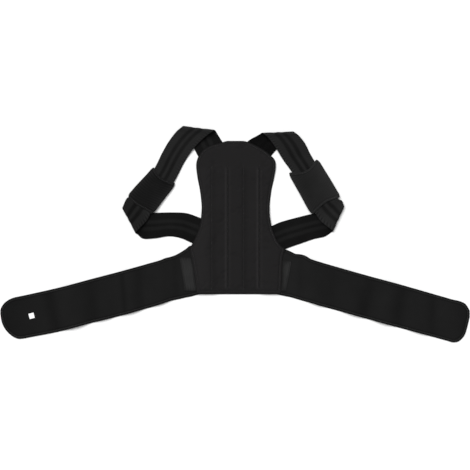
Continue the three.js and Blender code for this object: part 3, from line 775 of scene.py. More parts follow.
def pucker_rise(x, y):
    u = np.interp(x - PANEL_MIDDLE, pucker_columns, np.arange(len(pucker_columns)))
    v = np.interp(y, pucker_rows, np.arange(len(pucker_rows)))
    column, row = np.floor(u).astype(int), np.floor(v).astype(int)
    total = np.zeros_like(u)
    for down, tall in enumerate(cubic_shares(v - row)):
        for over, wide in enumerate(cubic_shares(u - column)):
            there = np.clip(row + down - 1, 0, len(pucker_rows) - 1)
            beside = np.clip(column + over - 1, 0, len(pucker_columns) - 1)
            total += tall * wide * puckers[there, beside]
    return total


def panel_over(x, y):
    return panel_under(x, y) + pad_height(x, y, panel_depth(x, y)) + pucker_rise(x, y)


middle_height = panel_over(np.array([PANEL_MIDDLE]), np.array([0.0]))[0]
print("The pad's middle is", round(middle_height / MM, 2), "mm high")

# %% Make the pad
NEAR_SEAM = np.array([-2.2, -1.3, -0.8, -0.4, 0, 0.4, 0.8, 1.3, 2.2]) * MM
EDGE_INSETS = np.array([12, 10, 8.4, 7, 6, 5.2, 4.4, 3.2, 2, 0.6]) * MM


def panel_columns(reach):
    """Distances from the middle to the columns of the pad's mesh on one side."""
    seams = np.concatenate([INNER_SEAM + NEAR_SEAM, OUTER_SEAM + NEAR_SEAM])
    fixed = np.unique(np.concatenate([np.arange(0.0018, 0.05, 0.0018), seams]))
    rim = reach - EDGE_INSETS
    squeeze = min(1, 0.97 * rim[0] / fixed[-1])
    between = np.linspace(fixed[-1] * squeeze, rim[0], 12)[1:-1]
    return np.concatenate([fixed * squeeze, between, rim])


def make_pad():
    downs = places_along(PANEL_ROWS, 0.0048)
    lefts, rights = panel_reach(downs, 1), panel_reach(downs, 2)
    rows = [
        np.concatenate([-panel_columns(left)[::-1], [0], panel_columns(right)])
        for left, right in zip(lefts, rights)
    ]
    x = np.array(rows) + PANEL_MIDDLE
    y = np.broadcast_to((PANEL_TOP - PANEL_HEIGHT * downs)[:, None], x.shape)
    x, y, depth = kept_inside(x, y, panel_line, panel_inward)
    under = panel_under(x, y)
    over = under + pad_height(x, y, depth) + pucker_rise(x, y)
    low = under + lifted_under(depth, edge_width(y))
    tone_and_painted_light = pad_painted_light(x, y, depth)
    upper, lower = np.stack([x, y, over], -1), np.stack([x, y, low], -1)
    return make_wall("padded_panel", upper, lower, np.stack([x, y], -1), tone_and_painted_light, 0.4, PAD_CLOTH, "panel_cloth")


def pad_painted_light(x, y, depth):
    """Painted light on the lips of the seams and on the raised puckers, painted shade in the seams and beside
    the edge tape, and paler towards the pad's left side.
    """
    beside = x - PANEL_MIDDLE
    length = seam_length(y)
    tone_and_painted_light = 0.44 + 0.15 * ease(-beside, 0.03, 0.075) * length
    for seam in CRISP_SEAMS:
        apart = beside - seam
        lips = 0.55 * hump(apart, -0.0036, 0.0022) + 0.22 * hump(apart, 0.0036, 0.002)
        tone_and_painted_light += length * (lips - 0.5 * hump(apart, 0, 0.0014))
    for seam in SOFT_SEAMS:
        tone_and_painted_light -= 0.17 * length * hump(beside - seam, 0.003, 0.006)
    tone_and_painted_light -= 0.2 * hump(depth, edge_width(y) + 0.0006, 0.0012)
    return np.clip(tone_and_painted_light + 45 * pucker_rise(x, y), 0.05, 1)


padded_panel = make_pad()
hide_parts("back_panel")

# %% Bind and sew the panel
TAPE_STITCHED = 0.72  # how far in on the tape its stitches lie, as a share of its width
TAPE_STITCH_LIFT = 2.82 * MM

panel_widths = edge_width(panel_line[:, 1])
panel_downs = panel_down(panel_line[:, 1])
on_wings = ease(panel_downs, 0.7, 0.74) * (1 - ease(panel_downs, 0.985, 0.995))
# Where the panel's edge lies on the wings, the painted shade on its tape's outer side is lifted almost away.
bind_edge(
    "panel_edge_tape", panel_line, panel_inward, panel_widths, panel_under, PAD_BINDING, "panel_cloth",
    closed=True, outer_side_painted_light=0.9 * on_wings,
)  # fmt: skip


def panel_seam_lines():
    y = np.linspace(PANEL_FOOT + HEM_HEIGHT + 0.001, PANEL_TOP - PANEL_HEIGHT * CHANNEL_TOP, 200)
    lines = []
    for seam in (*CRISP_SEAMS, *SOFT_SEAMS):
        line = np.column_stack([np.full(len(y), PANEL_MIDDLE + seam), y])
        lines.append(on_cloth(line, panel_over, 0.00032 if seam in CRISP_SEAMS else 0.00015))
    return lines


def tape_stitch_line(line, inward, widths, under):
    """A line on the edge tape, without the bits that fold back at a sharp corner."""
    place = line + inward * (widths * TAPE_STITCHED)[:, None]
    apart = np.linalg.norm(place[:, None] - line[None], axis=-1).min(1)
    return on_cloth(place[apart > 0.94 * TAPE_STITCHED * widths], under, TAPE_STITCH_LIFT)


make_stitches("panel_seam_stitches", panel_seam_lines(), "panel_cloth")
tape_line = tape_stitch_line(panel_line, panel_inward, panel_widths, panel_under)
make_stitches("panel_edge_stitches", [tape_line], "panel_cloth")

# %% [markdown]
# ## The two belt wings
#
# Each wing is a strip of brushed belt cloth, 3 mm thick, with a round end and a taped edge.
# It doesn't lie quite flat: low waves run across it, and soft bands of painted shade darken it,
# mostly in the valleys between the waves. The waves are real height, because they show from
# the side, and the bands are painted shade in its colour only.
# A cloth simulation would lay the wing flat and lose the waves, so they are placed one by one.

# %% The wings' tables
WING_LENGTH = 0.382
WING_HEIGHT = 0.086
WING_DROP = 0.097
WING_WAVE = 0.006

# Out from the foot of the panel's side as a share of the length, sink of the lower edge as a
# share of the drop, and height as a share of the height
LEFT_WING_ROWS = [
    (-0.055, -0.005, 1.02), (-0.03, 0.01, 1.08), (0.008, 0.049, 1.185), (0.034, 0.068, 1.126),
    (0.06, 0.093, 1.08), (0.086, 0.115, 1.043), (0.113, 0.14, 1.028), (0.139, 0.173, 1.038),
    (0.165, 0.208, 1.03), (0.217, 0.272, 1.035), (0.374, 0.445, 1.035), (0.531, 0.598, 1.025),
    (0.688, 0.763, 1.025), (0.846, 0.887, 1.005), (0.908, 0.922, 0.986), (0.94, 0.874, 0.898),
    (0.971, 0.767, 0.707), (0.99, 0.654, 0.5), (1, 0.54, 0.3), (1.005, 0.416, 0.1),
]  # fmt: skip
RIGHT_WING_ROWS = [
    (-0.047, -0.005, 0.955), (0, 0.035, 1.086), (0.034, 0.062, 1.067), (0.06, 0.091, 1.045),
    (0.086, 0.122, 1.067), (0.113, 0.151, 1.065), (0.139, 0.179, 1.026), (0.191, 0.241, 1.02),
    (0.296, 0.355, 1.012), (0.448, 0.524, 1.012), (0.605, 0.693, 1.014), (0.762, 0.86, 1.002),
    (0.856, 0.963, 0.998), (0.887, 0.995, 0.995), (0.919, 0.965, 0.93), (0.95, 0.823, 0.707),
    (0.965, 0.62, 0.39), (0.974, 0.468, 0.14),
]  # fmt: skip

# foot says where a wing leaves the panel, and panel which column of its table has that side
LEFT = {"name": "left", "sign": -1, "foot": 0.547, "panel": 1, "wing": LEFT_WING_ROWS}
RIGHT = {"name": "right", "sign": 1, "foot": 0.61, "panel": 2, "wing": RIGHT_WING_ROWS}
SIDES = (LEFT, RIGHT)

# Crests of the waves: place, half length, rise as a share of the tallest, lean from edge to edge
LEFT["waves"] = [
    (0.17, 0.07, 0.6, 0.02), (0.33, 0.08, 0.8, 0.03), (0.47, 0.07, 0.6, 0.02), (0.63, 0.09, 1, 0.05),
]  # fmt: skip
RIGHT["waves"] = [
    (0.16, 0.07, 0.7, -0.02), (0.34, 0.09, 0.9, -0.05), (0.54, 0.09, 1, 0.04), (0.72, 0.08, 0.7, 0.02),
]  # fmt: skip

# Bands of painted shade, mostly in the valleys between the waves: place, half width, how dark, lean from edge
# to edge
LEFT["bands"] = [
    (0.089, 0.02, 0.18, 0.01), (0.277, 0.026, 0.2, 0.0), (0.359, 0.015, 0.3, 0.02),
    (0.524, 0.045, 0.32, 0.02), (0.733, 0.034, 0.36, 0.047), (0.96, 0.12, 0.3, 0.0),
]  # fmt: skip
RIGHT["bands"] = [
    (0.02, 0.09, -0.16, 0.0), (0.084, 0.016, 0.12, 0.01), (0.246, 0.035, 0.17, 0.02),
    (0.432, 0.042, 0.3, 0.058), (0.607, 0.038, 0.27, 0.03), (0.775, 0.026, 0.22, 0.0), (0.96, 0.05, 0.3, 0.0),
]  # fmt: skip
print(len(LEFT_WING_ROWS), "rows shape the left wing and", len(RIGHT_WING_ROWS), "the right one")

# %% How a wing lies


def wing_x(side, out):
    return PANEL_MIDDLE + side["sign"] * (PANEL_WIDTH * side["foot"] + WING_LENGTH * out)


def wing_low(side, out):
    return PANEL_FOOT - WING_DROP * read_table(side["wing"], 1, out)


def wing_height(side, out):
    return WING_HEIGHT * read_table(side["wing"], 2, out)


def wing_place(side, x, y):
    """Out along a wing and across it, as shares, of a point in plan."""
    out = ((x - PANEL_MIDDLE) * side["sign"] - PANEL_WIDTH * side["foot"]) / WING_LENGTH
    return out, (y - wing_low(side, out)) / wing_height(side, out)


def wing_under(side):
    """The height of a wing's under face, as a function of the place in plan."""

    def height(x, y):
        out, across = wing_place(side, x, y)
        rises = []
        for crest, reach, rise, lean in side["waves"]:
            away = np.abs(out - crest - lean * (across - 0.5)) / reach
            rises.append(rise * (1 - ease(away, 0, 1)))
        return WING_WAVE * np.max(rises, 0)

    return height


def wing_line(side):
    """A wing's edge, out along its lower side, round the end and back along the upper one."""
    outs = places_along(side["wing"], 0.004)
    x = wing_x(side, outs)
    low = np.column_stack([x, wing_low(side, outs)])
    high = np.column_stack([x, wing_low(side, outs) + wing_height(side, outs)])
    line = resample(np.concatenate([low, high[::-1]]))
    return line, way_in(line, side["sign"])


for side in SIDES:
    side["edge"], side["inward"] = wing_line(side)
    print("The", side["name"], "wing's edge is", round(len(side["edge"]) * EDGE_STEP, 3), "m long")

# %% Make the wings
WING_INSETS = np.array([0.6, 2, 3.2, 4.4, 5.2, 6, 7, 8.4, 10.5]) * MM


def wing_grid(side):
    outs = places_along(side["wing"], 0.0042)
    height = wing_height(side, outs)[:, None]
    edge = WING_INSETS[None] / height * np.minimum(1, 0.45 * height / WING_INSETS[-1])
    middle = edge[:, -1:] + (1 - 2 * edge[:, -1:]) * np.linspace(0, 1, 28)[None, 1:-1]
    across = np.concatenate([edge, middle, 1 - edge[:, ::-1]], 1)
    x = np.broadcast_to(wing_x(side, outs)[:, None], across.shape)
    y = wing_low(side, outs)[:, None] + height * across
    return x, y


def wing_painted_shade(side, x, y, depth):
    """Bands of painted shade, mostly in the valleys between the waves, and a line of painted shade beside the
    edge tape.
    """
    out, across = wing_place(side, x, y)
    tone_and_painted_light = np.full(x.shape, 0.6)
    for place, width, dark, lean in side["bands"]:
        tone_and_painted_light -= dark * hump(out, place + lean * (across - 0.5), width)
    tone_and_painted_light -= 0.35 * hump(depth, EDGE_TAPE + 0.0005, 0.0013)
    return np.clip(tone_and_painted_light, 0.03, 1)


def make_wing(side):
    x, y, depth = kept_inside(*wing_grid(side), side["edge"], side["inward"])
    under = wing_under(side)(x, y)
    upper = np.stack([x, y, under + bound_thickness(depth, WING_THICKNESS)], -1)
    lower = np.stack([x, y, under + lifted_under(depth)], -1)
    tone_and_painted_light = wing_painted_shade(side, x, y, depth)
    name = side["name"] + "_wing_cloth"
    return make_wall(name, upper, lower, np.stack([x, y], -1), tone_and_painted_light, 0.5, WING_CLOTH, "wing_cloth")


for side in SIDES:
    under = wing_under(side)
    widths = np.full(len(side["edge"]), EDGE_TAPE)
    side["cloth"] = make_wing(side)
    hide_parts(side["name"] + "_wing")
    name = side["name"] + "_wing_edge_tape"
    tape = bind_edge(name, side["edge"], side["inward"], widths, under, BINDING, "wing_cloth")
    line = tape_stitch_line(side["edge"], side["inward"], widths, under)
    stitches = make_stitches(side["name"] + "_wing_stitches", [line], "wing_cloth")
    side["trim"] = [tape, stitches]

# %% [markdown]
# ## The joint tapes
#
# Where a wing is sewn to the panel, a band of satin tape covers the seam. Its long floating
# threads shine more than any other cloth here, in streaks along its length, and this sheen is
# painted into its colour, so it shows as the one pale strip on each side. It lies on the wing
# against the panel's edge.

# %% Make the joint tapes
TAPE_WIDTH = 0.025
TAPE_THICKNESS = 0.0008
TAPE_TOP_INSET = 0.0235
TAPE_FOOT_INSET = 0.006
TAPE_SEAM = 0.0024  # from each side of the tape to its row of stitches
LEFT["tape"] = {"head": 1, "foot": 0.97, "lean": 0.0}
RIGHT["tape"] = {"head": 0.74, "foot": 0.4, "lean": 0.7}  # lean makes its outer upper part the palest


def make_joint_tape(side):
    facts = side["tape"]
    head = wing_low(side, 0) + wing_height(side, 0) - TAPE_TOP_INSET
    foot = PANEL_FOOT + TAPE_FOOT_INSET
    down = np.linspace(0, 1, 90)[:, None]
    across = np.concatenate([[0, 0.01, 0.03], np.linspace(0.06, 0.94, 30), [0.97, 0.99, 1]])[None]
    y = head + (foot - head) * down
    reach = panel_reach(panel_down(y), side["panel"])
    wide = TAPE_WIDTH * (facts["head"] + (facts["foot"] - facts["head"]) * down)
    x = PANEL_MIDDLE + side["sign"] * (reach + LAYER_GAP + wide * across)
    y = np.broadcast_to(y, x.shape)
    from_side = np.minimum(across, 1 - across) * wide
    ends = np.minimum(down, 1 - down) * (head - foot)
    rim = np.minimum(from_side, ends)
    low = WING_THICKNESS + LAYER_GAP
    seams = hump(from_side, TAPE_SEAM, 0.0007)
    streaks = np.sin(across * 40 + 2 * np.sin(down * 5)) * np.sin(across * 93 + 1.3)
    rise = np.clip(rim / 0.0008, 0, 1) ** 0.5 * 0.55 + 0.45
    high = low + TAPE_THICKNESS * (rise - 0.35 * seams + 0.07 * streaks * (rim > 0.0016))
    upper = np.stack([x, y, high], -1)
    lower = np.stack([x, y, np.full_like(x, low)], -1)
    weave = np.stack([np.broadcast_to(across * wide, x.shape), y], -1)
    lean = facts["lean"] * (across - 0.8 + 0.3 * (1 - down))
    ragged = 0.5 * hump(ends, 0, 0.005 + 0.003 * np.sin(across * 31))
    sides = 0.35 * hump(from_side, 0, 1.2 * TAPE_SEAM)
    # Painted sheen makes the streaks paler, and painted shade darkens the stitch lines and the long sides.
    tone_and_painted_light = np.clip(0.58 + 0.32 * streaks + lean - 0.5 * seams - ragged - sides, 0.02, 1)
    name = side["name"] + "_joint_tape_band"
    band = make_wall(name, upper, lower, weave, tone_and_painted_light, 0.3, TAPE_CLOTH, "joint_tape")
    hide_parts(side["name"] + "_joint_tape")
    lines = []
    for inset in (TAPE_SEAM, wide[:, 0] - TAPE_SEAM):
        line_x = PANEL_MIDDLE + side["sign"] * (reach[:, 0] + LAYER_GAP + inset)
        lines.append(np.column_stack([line_x, y[:, 0], np.full(len(y), low + 0.62 * TAPE_THICKNESS)])[3:-3])
    return band, make_stitches(side["name"] + "_joint_stitches", lines, "joint_tape")


for side in SIDES:
    side["trim"].extend(make_joint_tape(side))

# %% [markdown]
# ## The elastic webbing
#
# Each shoulder loop is one length of 50 mm elastic. It leaves from under the dome, folds over
# outwards, runs through its sleeve, folds under at the outer corner and goes back beneath the
# panel's side. A simulation would need the whole history of how it was laid, and it would
# wipe out the ribs, so the loop is modelled directly: a table says where the line across the
# webbing lies at each step, and smooth curves carry it from one to the next. Ribs that stand
# up on the outer face are grooves on the inner one, which is the face that shows after a fold.

# %% The loops' tables
STRAP_WIDTH = 0.05
LOOP_REACH = 0.146
EDGE_GAP = 0.002
SLEEVE_WALL = 0.0015
SLEEVE_ROOM = 0.0006
FOLD_HEIGHTS = {"top": 0.012, "corner": 0.008}
FOLD_SEGMENTS = 6

# The kind of row, out as a share of the reach, up as a share of the height from the waist end
# to the dome, turn of the line across in degrees, its length as a share of the width, lift
LEFT_STRAP_ROWS = [
    ("top_end", -0.268, 0.82, -32, 1.13, 0), ("top_end", -0.195, 0.913, -32, 1.13, 0),
    ("top_end", -0.12, 1.026, -11, 1.14, 0), ("top_fold", -0.048, 1.138, 7.2, 1.27, 1),
    ("shoulder", 0.056, 1.076, 8.8, 1.2, 0.75), ("shoulder", 0.184, 0.968, 13.5, 1.06, 0.36),
    ("shoulder", 0.297, 0.833, 20, 0.98, 0.06), ("sleeved", 0.443, 0.611, 37.5, 0.96, 0),
    ("sleeved", 0.609, 0.448, 38, 0.95, 0.1), ("sleeved", 0.754, 0.306, 39, 1.07, 0.34),
    ("corner", 0.803, 0.253, 46, 1.19, 0.6), ("corner_fold", 0.916, 0.128, 61.6, 1.11, 1),
    ("waist_end", 0.79, 0.078, 72, 1.12, 0), ("waist_end", 0.565, 0.074, 88, 1.03, 0),
    ("waist_end", 0.349, 0.087, 94, 0.96, 0), ("waist_end", 0.164, 0.072, 103, 1.03, 0),
    ("waist_end", -0.007, 0.02, 108, 1.06, 0), ("waist_end", -0.12, -0.01, 108, 1.05, 0),
]  # fmt: skip
RIGHT_STRAP_ROWS = [
    ("top_end", -0.305, 0.822, -36, 1.09, 0), ("top_end", -0.223, 0.912, -36, 1.09, 0),
    ("top_end", -0.096, 1.002, -18, 1.07, 0), ("top_fold", 0.031, 1.089, 2.4, 1.24, 1),
    ("shoulder", 0.112, 1.04, 3.3, 1.24, 0.8), ("shoulder", 0.208, 0.946, 7, 1.2, 0.36),
    ("shoulder", 0.291, 0.836, 15.5, 1.1, 0.06), ("sleeved", 0.387, 0.723, 27, 1, 0),
    ("sleeved", 0.546, 0.516, 31, 1, 0.1), ("sleeved", 0.702, 0.314, 32, 1.08, 0.34),
    ("corner", 0.764, 0.264, 43, 1.18, 0.6), ("corner_fold", 0.868, 0.176, 65.4, 1.07, 1),
    ("waist_end", 0.743, 0.135, 72, 1.14, 0), ("waist_end", 0.529, 0.1, 92, 1.02, 0),
    ("waist_end", 0.315, 0.053, 102.5, 1.05, 0), ("waist_end", 0.13, 0.009, 110, 1.08, 0),
    ("waist_end", 0.02, -0.026, 113, 1.06, 0), ("waist_end", -0.099, -0.054, 113, 1, 0),
]  # fmt: skip
LEFT["strap"] = LEFT_STRAP_ROWS
RIGHT["strap"] = RIGHT_STRAP_ROWS
# Painted shade darkens the inner face beside the top fold; the first number says how pale it stays there.
LEFT["fold_shade"] = 1.1  # how pale the inner face is beside the top fold
RIGHT["fold_shade"] = 0.25
LEFT["corner_dark"] = 0.13  # how much darker the outer face is beneath the sleeve
RIGHT["corner_dark"] = -0.05
print("Each loop has", len(LEFT_STRAP_ROWS), "rows")

# %% Smooth lines across the webbing
WEBBING_STEP = 0.0008
LINE_PARTS = 24  # lines drawn from one row to the next


def strap_line(side, row, height=0.0):
    """The inner and the outer end of the line across the webbing at one row."""
    out, up, turn, wide = row[1:5]
    waist = wing_low(side, 0) + wing_height(side, 0) + EDGE_GAP + STRAP_WIDTH / 2
    x = PANEL_WIDTH / 2 + LOOP_REACH * out
    y = waist + (PANEL_TOP - waist) * up
    cosine, sine = math.cos(math.radians(turn)), math.sin(math.radians(turn))
    ends = []
    for reach in (-STRAP_WIDTH / 2 * wide, STRAP_WIDTH / 2 * wide):
        ends.append((PANEL_MIDDLE + side["sign"] * (x + reach * cosine), y + reach * sine, height))
    return np.array(ends)


def fold_lines(side, before, row, after):
    """A half circle: up and over at the top, or down and under at the corner. Its edges leave
    the fold line's ends straight towards the rows before and after."""
    top = row[0] == "top_fold"
    radius = FOLD_HEIGHTS["top" if top else "corner"] / 2
    crest = strap_line(side, row)
    lines = []
    for segment in range(FOLD_SEGMENTS + 1):
        angle = math.pi * (segment / FOLD_SEGMENTS - 0.5)
        inwards = radius * (1 - math.cos(angle)) + STRAP_THICKNESS / 2
        ways = strap_line(side, before if angle < 0 else after) - crest
        if abs(angle) < 0.01:
            ways = strap_line(side, before) + strap_line(side, after) - 2 * crest
        climb = radius * math.sin(angle) * (1 if top else -1)
        line = crest + unit(ways) * inwards
        line[:, 2] = STRAP_THICKNESS / 2 + radius + climb
        lines.append(line)
    return lines


def strap_lines(side):
    """All lines across the webbing, and the numbers of the first and last in the sleeve."""
    lines, sleeved = [], []
    rows = side["strap"]
    for place, row in enumerate(rows):
        if row[0].endswith("fold"):
            lines.extend(fold_lines(side, rows[place - 1], row, rows[place + 1]))
            continue
        if row[0] == "sleeved":
            sleeved.append(len(lines))
        fold = FOLD_HEIGHTS["top" if row[0] == "shoulder" else "corner"]
        bed = SLEEVE_WALL + SLEEVE_ROOM if row[0] == "sleeved" else 0
        lines.append(strap_line(side, row, STRAP_THICKNESS / 2 + bed + fold * row[5]))
    return np.array(lines), (sleeved[0], sleeved[-1])


def curve_between(four, part):
    """A smooth curve from the second to the third of four points that may lie uneven."""
    gaps = np.sqrt(np.linalg.norm(np.diff(four, axis=0), axis=-1))
    first, middle, last = np.maximum(gaps, 1e-6)
    ways = np.diff(four, axis=0)
    leave = middle * (ways[0] / first - (four[2] - four[0]) / (first + middle) + ways[1] / middle)
    arrive = middle * (ways[1] / middle - (four[3] - four[1]) / (middle + last) + ways[2] / last)
    return hermite(part[:, None], four[1], four[2], leave, arrive)


def smooth_loop(side):
    """Evenly spaced lines across the webbing, and the lengths at which its sleeve starts and ends."""
    lines, sleeved = strap_lines(side)
    padded_lines = np.concatenate([[2 * lines[0] - lines[1]], lines, [2 * lines[-1] - lines[-2]]])
    part = np.linspace(0, 1, LINE_PARTS, endpoint=False)
    ends = []
    for end in (0, 1):
        pieces = [curve_between(padded_lines[row : row + 4, end], part) for row in range(len(lines) - 1)]
        ends.append(np.concatenate([*pieces, lines[-1:, end]]))
    lengths = lengths_along((ends[0] + ends[1]) / 2)
    places = np.linspace(0, lengths[-1], round(lengths[-1] / WEBBING_STEP) + 1)
    even = [read_line(end, lengths, places) for end in ends]
    for end in even:
        end[:, 2] = np.maximum(end[:, 2], STRAP_THICKNESS / 2)
    return *even, places, [lengths[LINE_PARTS * row] for row in sleeved]


for side in SIDES:
    side["inner"], side["outer"], side["lengths"], side["sleeved"] = smooth_loop(side)
    print("The", side["name"], "loop's webbing is", round(side["lengths"][-1], 3), "m long")

# %% Make the webbing
RIB_PITCH = 0.0032
RIB_HEIGHT = 0.00010
GROOVES = [(0.3, 0.45), (0.56, 0.71)]  # across the webbing, from its inner edge
GROOVE_DEPTH = 0.00045
PICOT_PITCH = 0.0052  # of the small loops along both edges
CORNER_AFTER = 0.034  # from the end of the sleeve to the corner fold
WEBBING_COLUMNS = np.concatenate(
    [[0, 0.004, 0.012, 0.03], np.linspace(0.06, 0.94, 42), [0.97, 0.988, 0.996, 1]]
)


def grooves(across):
    """1 in the two grooves and 0 on the raised bands."""
    total = np.zeros_like(across)
    for start, end in GROOVES:
        total += ease(across, start - 0.04, start + 0.05) * (1 - ease(across, end - 0.05, end + 0.04))
    return total


def loop_frame(side):
    """Middle points and outward ways of the webbing over a grid of lines and columns."""
    across = WEBBING_COLUMNS[None, :, None]
    points = side["inner"][:, None] * (1 - across) + side["outer"][:, None] * across
    ways = np.gradient(points, axis=0)
    sideways = np.broadcast_to((side["outer"] - side["inner"])[:, None], points.shape)
    normals = np.cross(ways, sideways) * side["sign"]
    return points, unit(normals)


def inner_painted_shade(side, along):
    """Painted shade on the inner face: black under the folds, and paler in the open."""
    corner = side["sleeved"][1] + CORNER_AFTER
    return np.where(along > corner, 0.3 + 0.7 * ease(along, corner, corner + 0.06), side["fold_shade"])


def outer_shade(side, along, deep):
    """The outer face is a little paler by the top fold, and duller beneath the sleeve."""
    start, end = side["sleeved"]
    corner = ease(along, end, end + 0.015)
    top = 1 - ease(along, start - 0.07, start - 0.02)
    return 0.11 * top + (0.12 * deep - 1) * side["corner_dark"] * corner


def make_webbing(side):
    points, normals = loop_frame(side)
    across = WEBBING_COLUMNS[None]
    along = side["lengths"][:, None]
    rim = np.minimum(across, 1 - across)
    edge = np.sqrt(np.clip(rim / 0.02, 0, 1))
    deep = grooves(across)
    ribs = RIB_HEIGHT * np.sin(2 * math.pi * along / RIB_PITCH) * edge
    outer = STRAP_THICKNESS / 2 - GROOVE_DEPTH * deep - 0.0007 * (1 - edge) + ribs * (1 - deep)
    inner = STRAP_THICKNESS / 2 - GROOVE_DEPTH * (1 - deep) - 0.0003 * (1 - edge) + ribs * deep
    upper = points + normals * outer[..., None]
    lower = points - normals * inner[..., None]
    for face in (upper, lower):
        face[..., 2] = np.maximum(face[..., 2], 0)
    weave = np.stack(np.broadcast_arrays(across * STRAP_WIDTH, along), -1)
    ridge = ribs / RIB_HEIGHT
    picots = np.sin(2 * math.pi * (along + 0.3 * STRAP_WIDTH * rim) / PICOT_PITCH) * hump(rim, 0.07, 0.06)
    # Painted shade darkens the grooves and the rounded edges, and painted light makes the rib crests paler.
    tone_and_painted_light = 0.7 - 0.4 * deep + 0.08 * ridge + 0.36 * picots - 0.2 * (1 - edge) + outer_shade(side, along, deep)
    tone_and_painted_light = np.clip(tone_and_painted_light, 0.0, 1)
    # On the inner face the raised bands and rib crests are painted paler, and painted shade darkens it by the
    # folds.
    under_tone_and_painted_light = np.clip((0.23 + 0.2 * deep + 0.04 * ridge) * inner_painted_shade(side, along), 0.0, 1)
    name = side["name"] + "_webbing"
    return make_wall(name, upper, lower, weave, tone_and_painted_light, under_tone_and_painted_light, WEBBING, "webbing")


for side in SIDES:
    side["webbing"] = make_webbing(side)
    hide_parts(side["name"] + "_shoulder_strap")

# %% [markdown]
# ## The sleeves
#
# A sleeve is a short tube of ribbed knit, wider than the webbing, that slides along it. Lying
# down it is a flat ring with soft sides. Its two ends are turned in and sewn, which leaves a
# raised hem with a row of stitches. The tube is one skin: out along the outer wall, over the
# hem and back along the inner wall, so that the inside shows at both ends, painted dark as the
# shade in the tube.

# %% Make the sleeves
SLEEVE_WIDTH = 0.064
SLEEVE_HEM = 0.0045
SLEEVE_RIB = 0.005
SLEEVE_SIDES = 80
SLEEVE_DRAWN = 0.0014  # how far each side is drawn in by the hem
SLEEVE_CORNER = 0.003  # how far from an end its corners start to round
SLEEVE_PEAKS = 0.003  # how far the upper hem's two corners stand out
SLEEVE_INSIDE = STRAP_THICKNESS / 2 + SLEEVE_ROOM  # from the webbing's middle to the sleeve's inner wall
HEM_STITCHED = SLEEVE_HEM * 0.62
HEM_STITCH_LIFT = 0.00055

# Each sleeve is also painted darker or paler all over, and paler on one side than the other, as painted light
# and shade.
# hems has how far each hem bows along the webbing, where across it and how wide
LEFT["sleeve"] = {"wide": 0.94, "spread": 0.04, "skew": -0.1, "shade": -0.2, "tilt": 0.0}
LEFT["sleeve"]["hems"] = ((0.005, 0.15, 0.6), (0.0065, 0.45, 0.95))
RIGHT["sleeve"] = {"wide": 1.06, "spread": 0.02, "skew": 0.45, "shade": 0.16, "tilt": 0.2}
RIGHT["sleeve"]["hems"] = ((0.009, 0.05, 0.7), (-0.0065, 0.1, 0.7))


def flattened(value, power):
    """A sine or cosine bent so that a ring gets flat faces and soft sides."""
    return np.sign(value) * np.abs(value) ** power


SLEEVE_ANGLES = (np.arange(SLEEVE_SIDES) + 0.5) * 2 * math.pi / SLEEVE_SIDES
SLEEVE_BESIDE = flattened(np.cos(SLEEVE_ANGLES), 0.5)[None]
SLEEVE_TALL = flattened(np.sin(SLEEVE_ANGLES), 0.6)[None]


def along_loop(side, values, lengths):
    """Values that are known at every line of a loop, read at any lengths along it."""
    return read_line(values, side["lengths"], np.ravel(lengths)).reshape(*np.shape(lengths), 3)


def hem_bow(side, beside, end):
    """How far the sleeve's upper hem, end 0, or lower hem, end 1, bows along the webbing."""
    bow, place, width = side["sleeve"]["hems"][end]
    peaks = 0 if end else SLEEVE_PEAKS * hump(np.abs(beside), 1, 0.25)
    return bow * hump(beside, place, width) - peaks


def sleeve_reach(side, lengths, from_end):
    """How far a sleeve reaches to its sides, as a share of its full width."""
    drawn = SLEEVE_DRAWN / (SLEEVE_WIDTH / 2) * (1 - ease(from_end, 0, 0.01))
    rounding = SLEEVE_CORNER / SLEEVE_WIDTH * (1 - np.sqrt(np.clip(from_end / SLEEVE_CORNER, 0, 1)))
    return 1 - drawn - rounding + side["sleeve"]["spread"] * (2 * ease(lengths, *side["sleeved"]) - 1)


def sleeve_skin(side, lengths, from_end, width, height):
    """Points of one wall, on lines round the webbing at the given lengths."""
    middle = (side["inner"] + side["outer"]) / 2
    sideways = unit(side["outer"] - side["inner"])
    normal = unit(np.cross(np.gradient(middle, axis=0), sideways) * side["sign"])
    reach = SLEEVE_BESIDE * width * sleeve_reach(side, lengths, from_end)
    over = along_loop(side, sideways, lengths) * reach[..., None]
    up = along_loop(side, normal, lengths) * (SLEEVE_TALL * height)[..., None]
    return along_loop(side, middle, lengths) + over + up


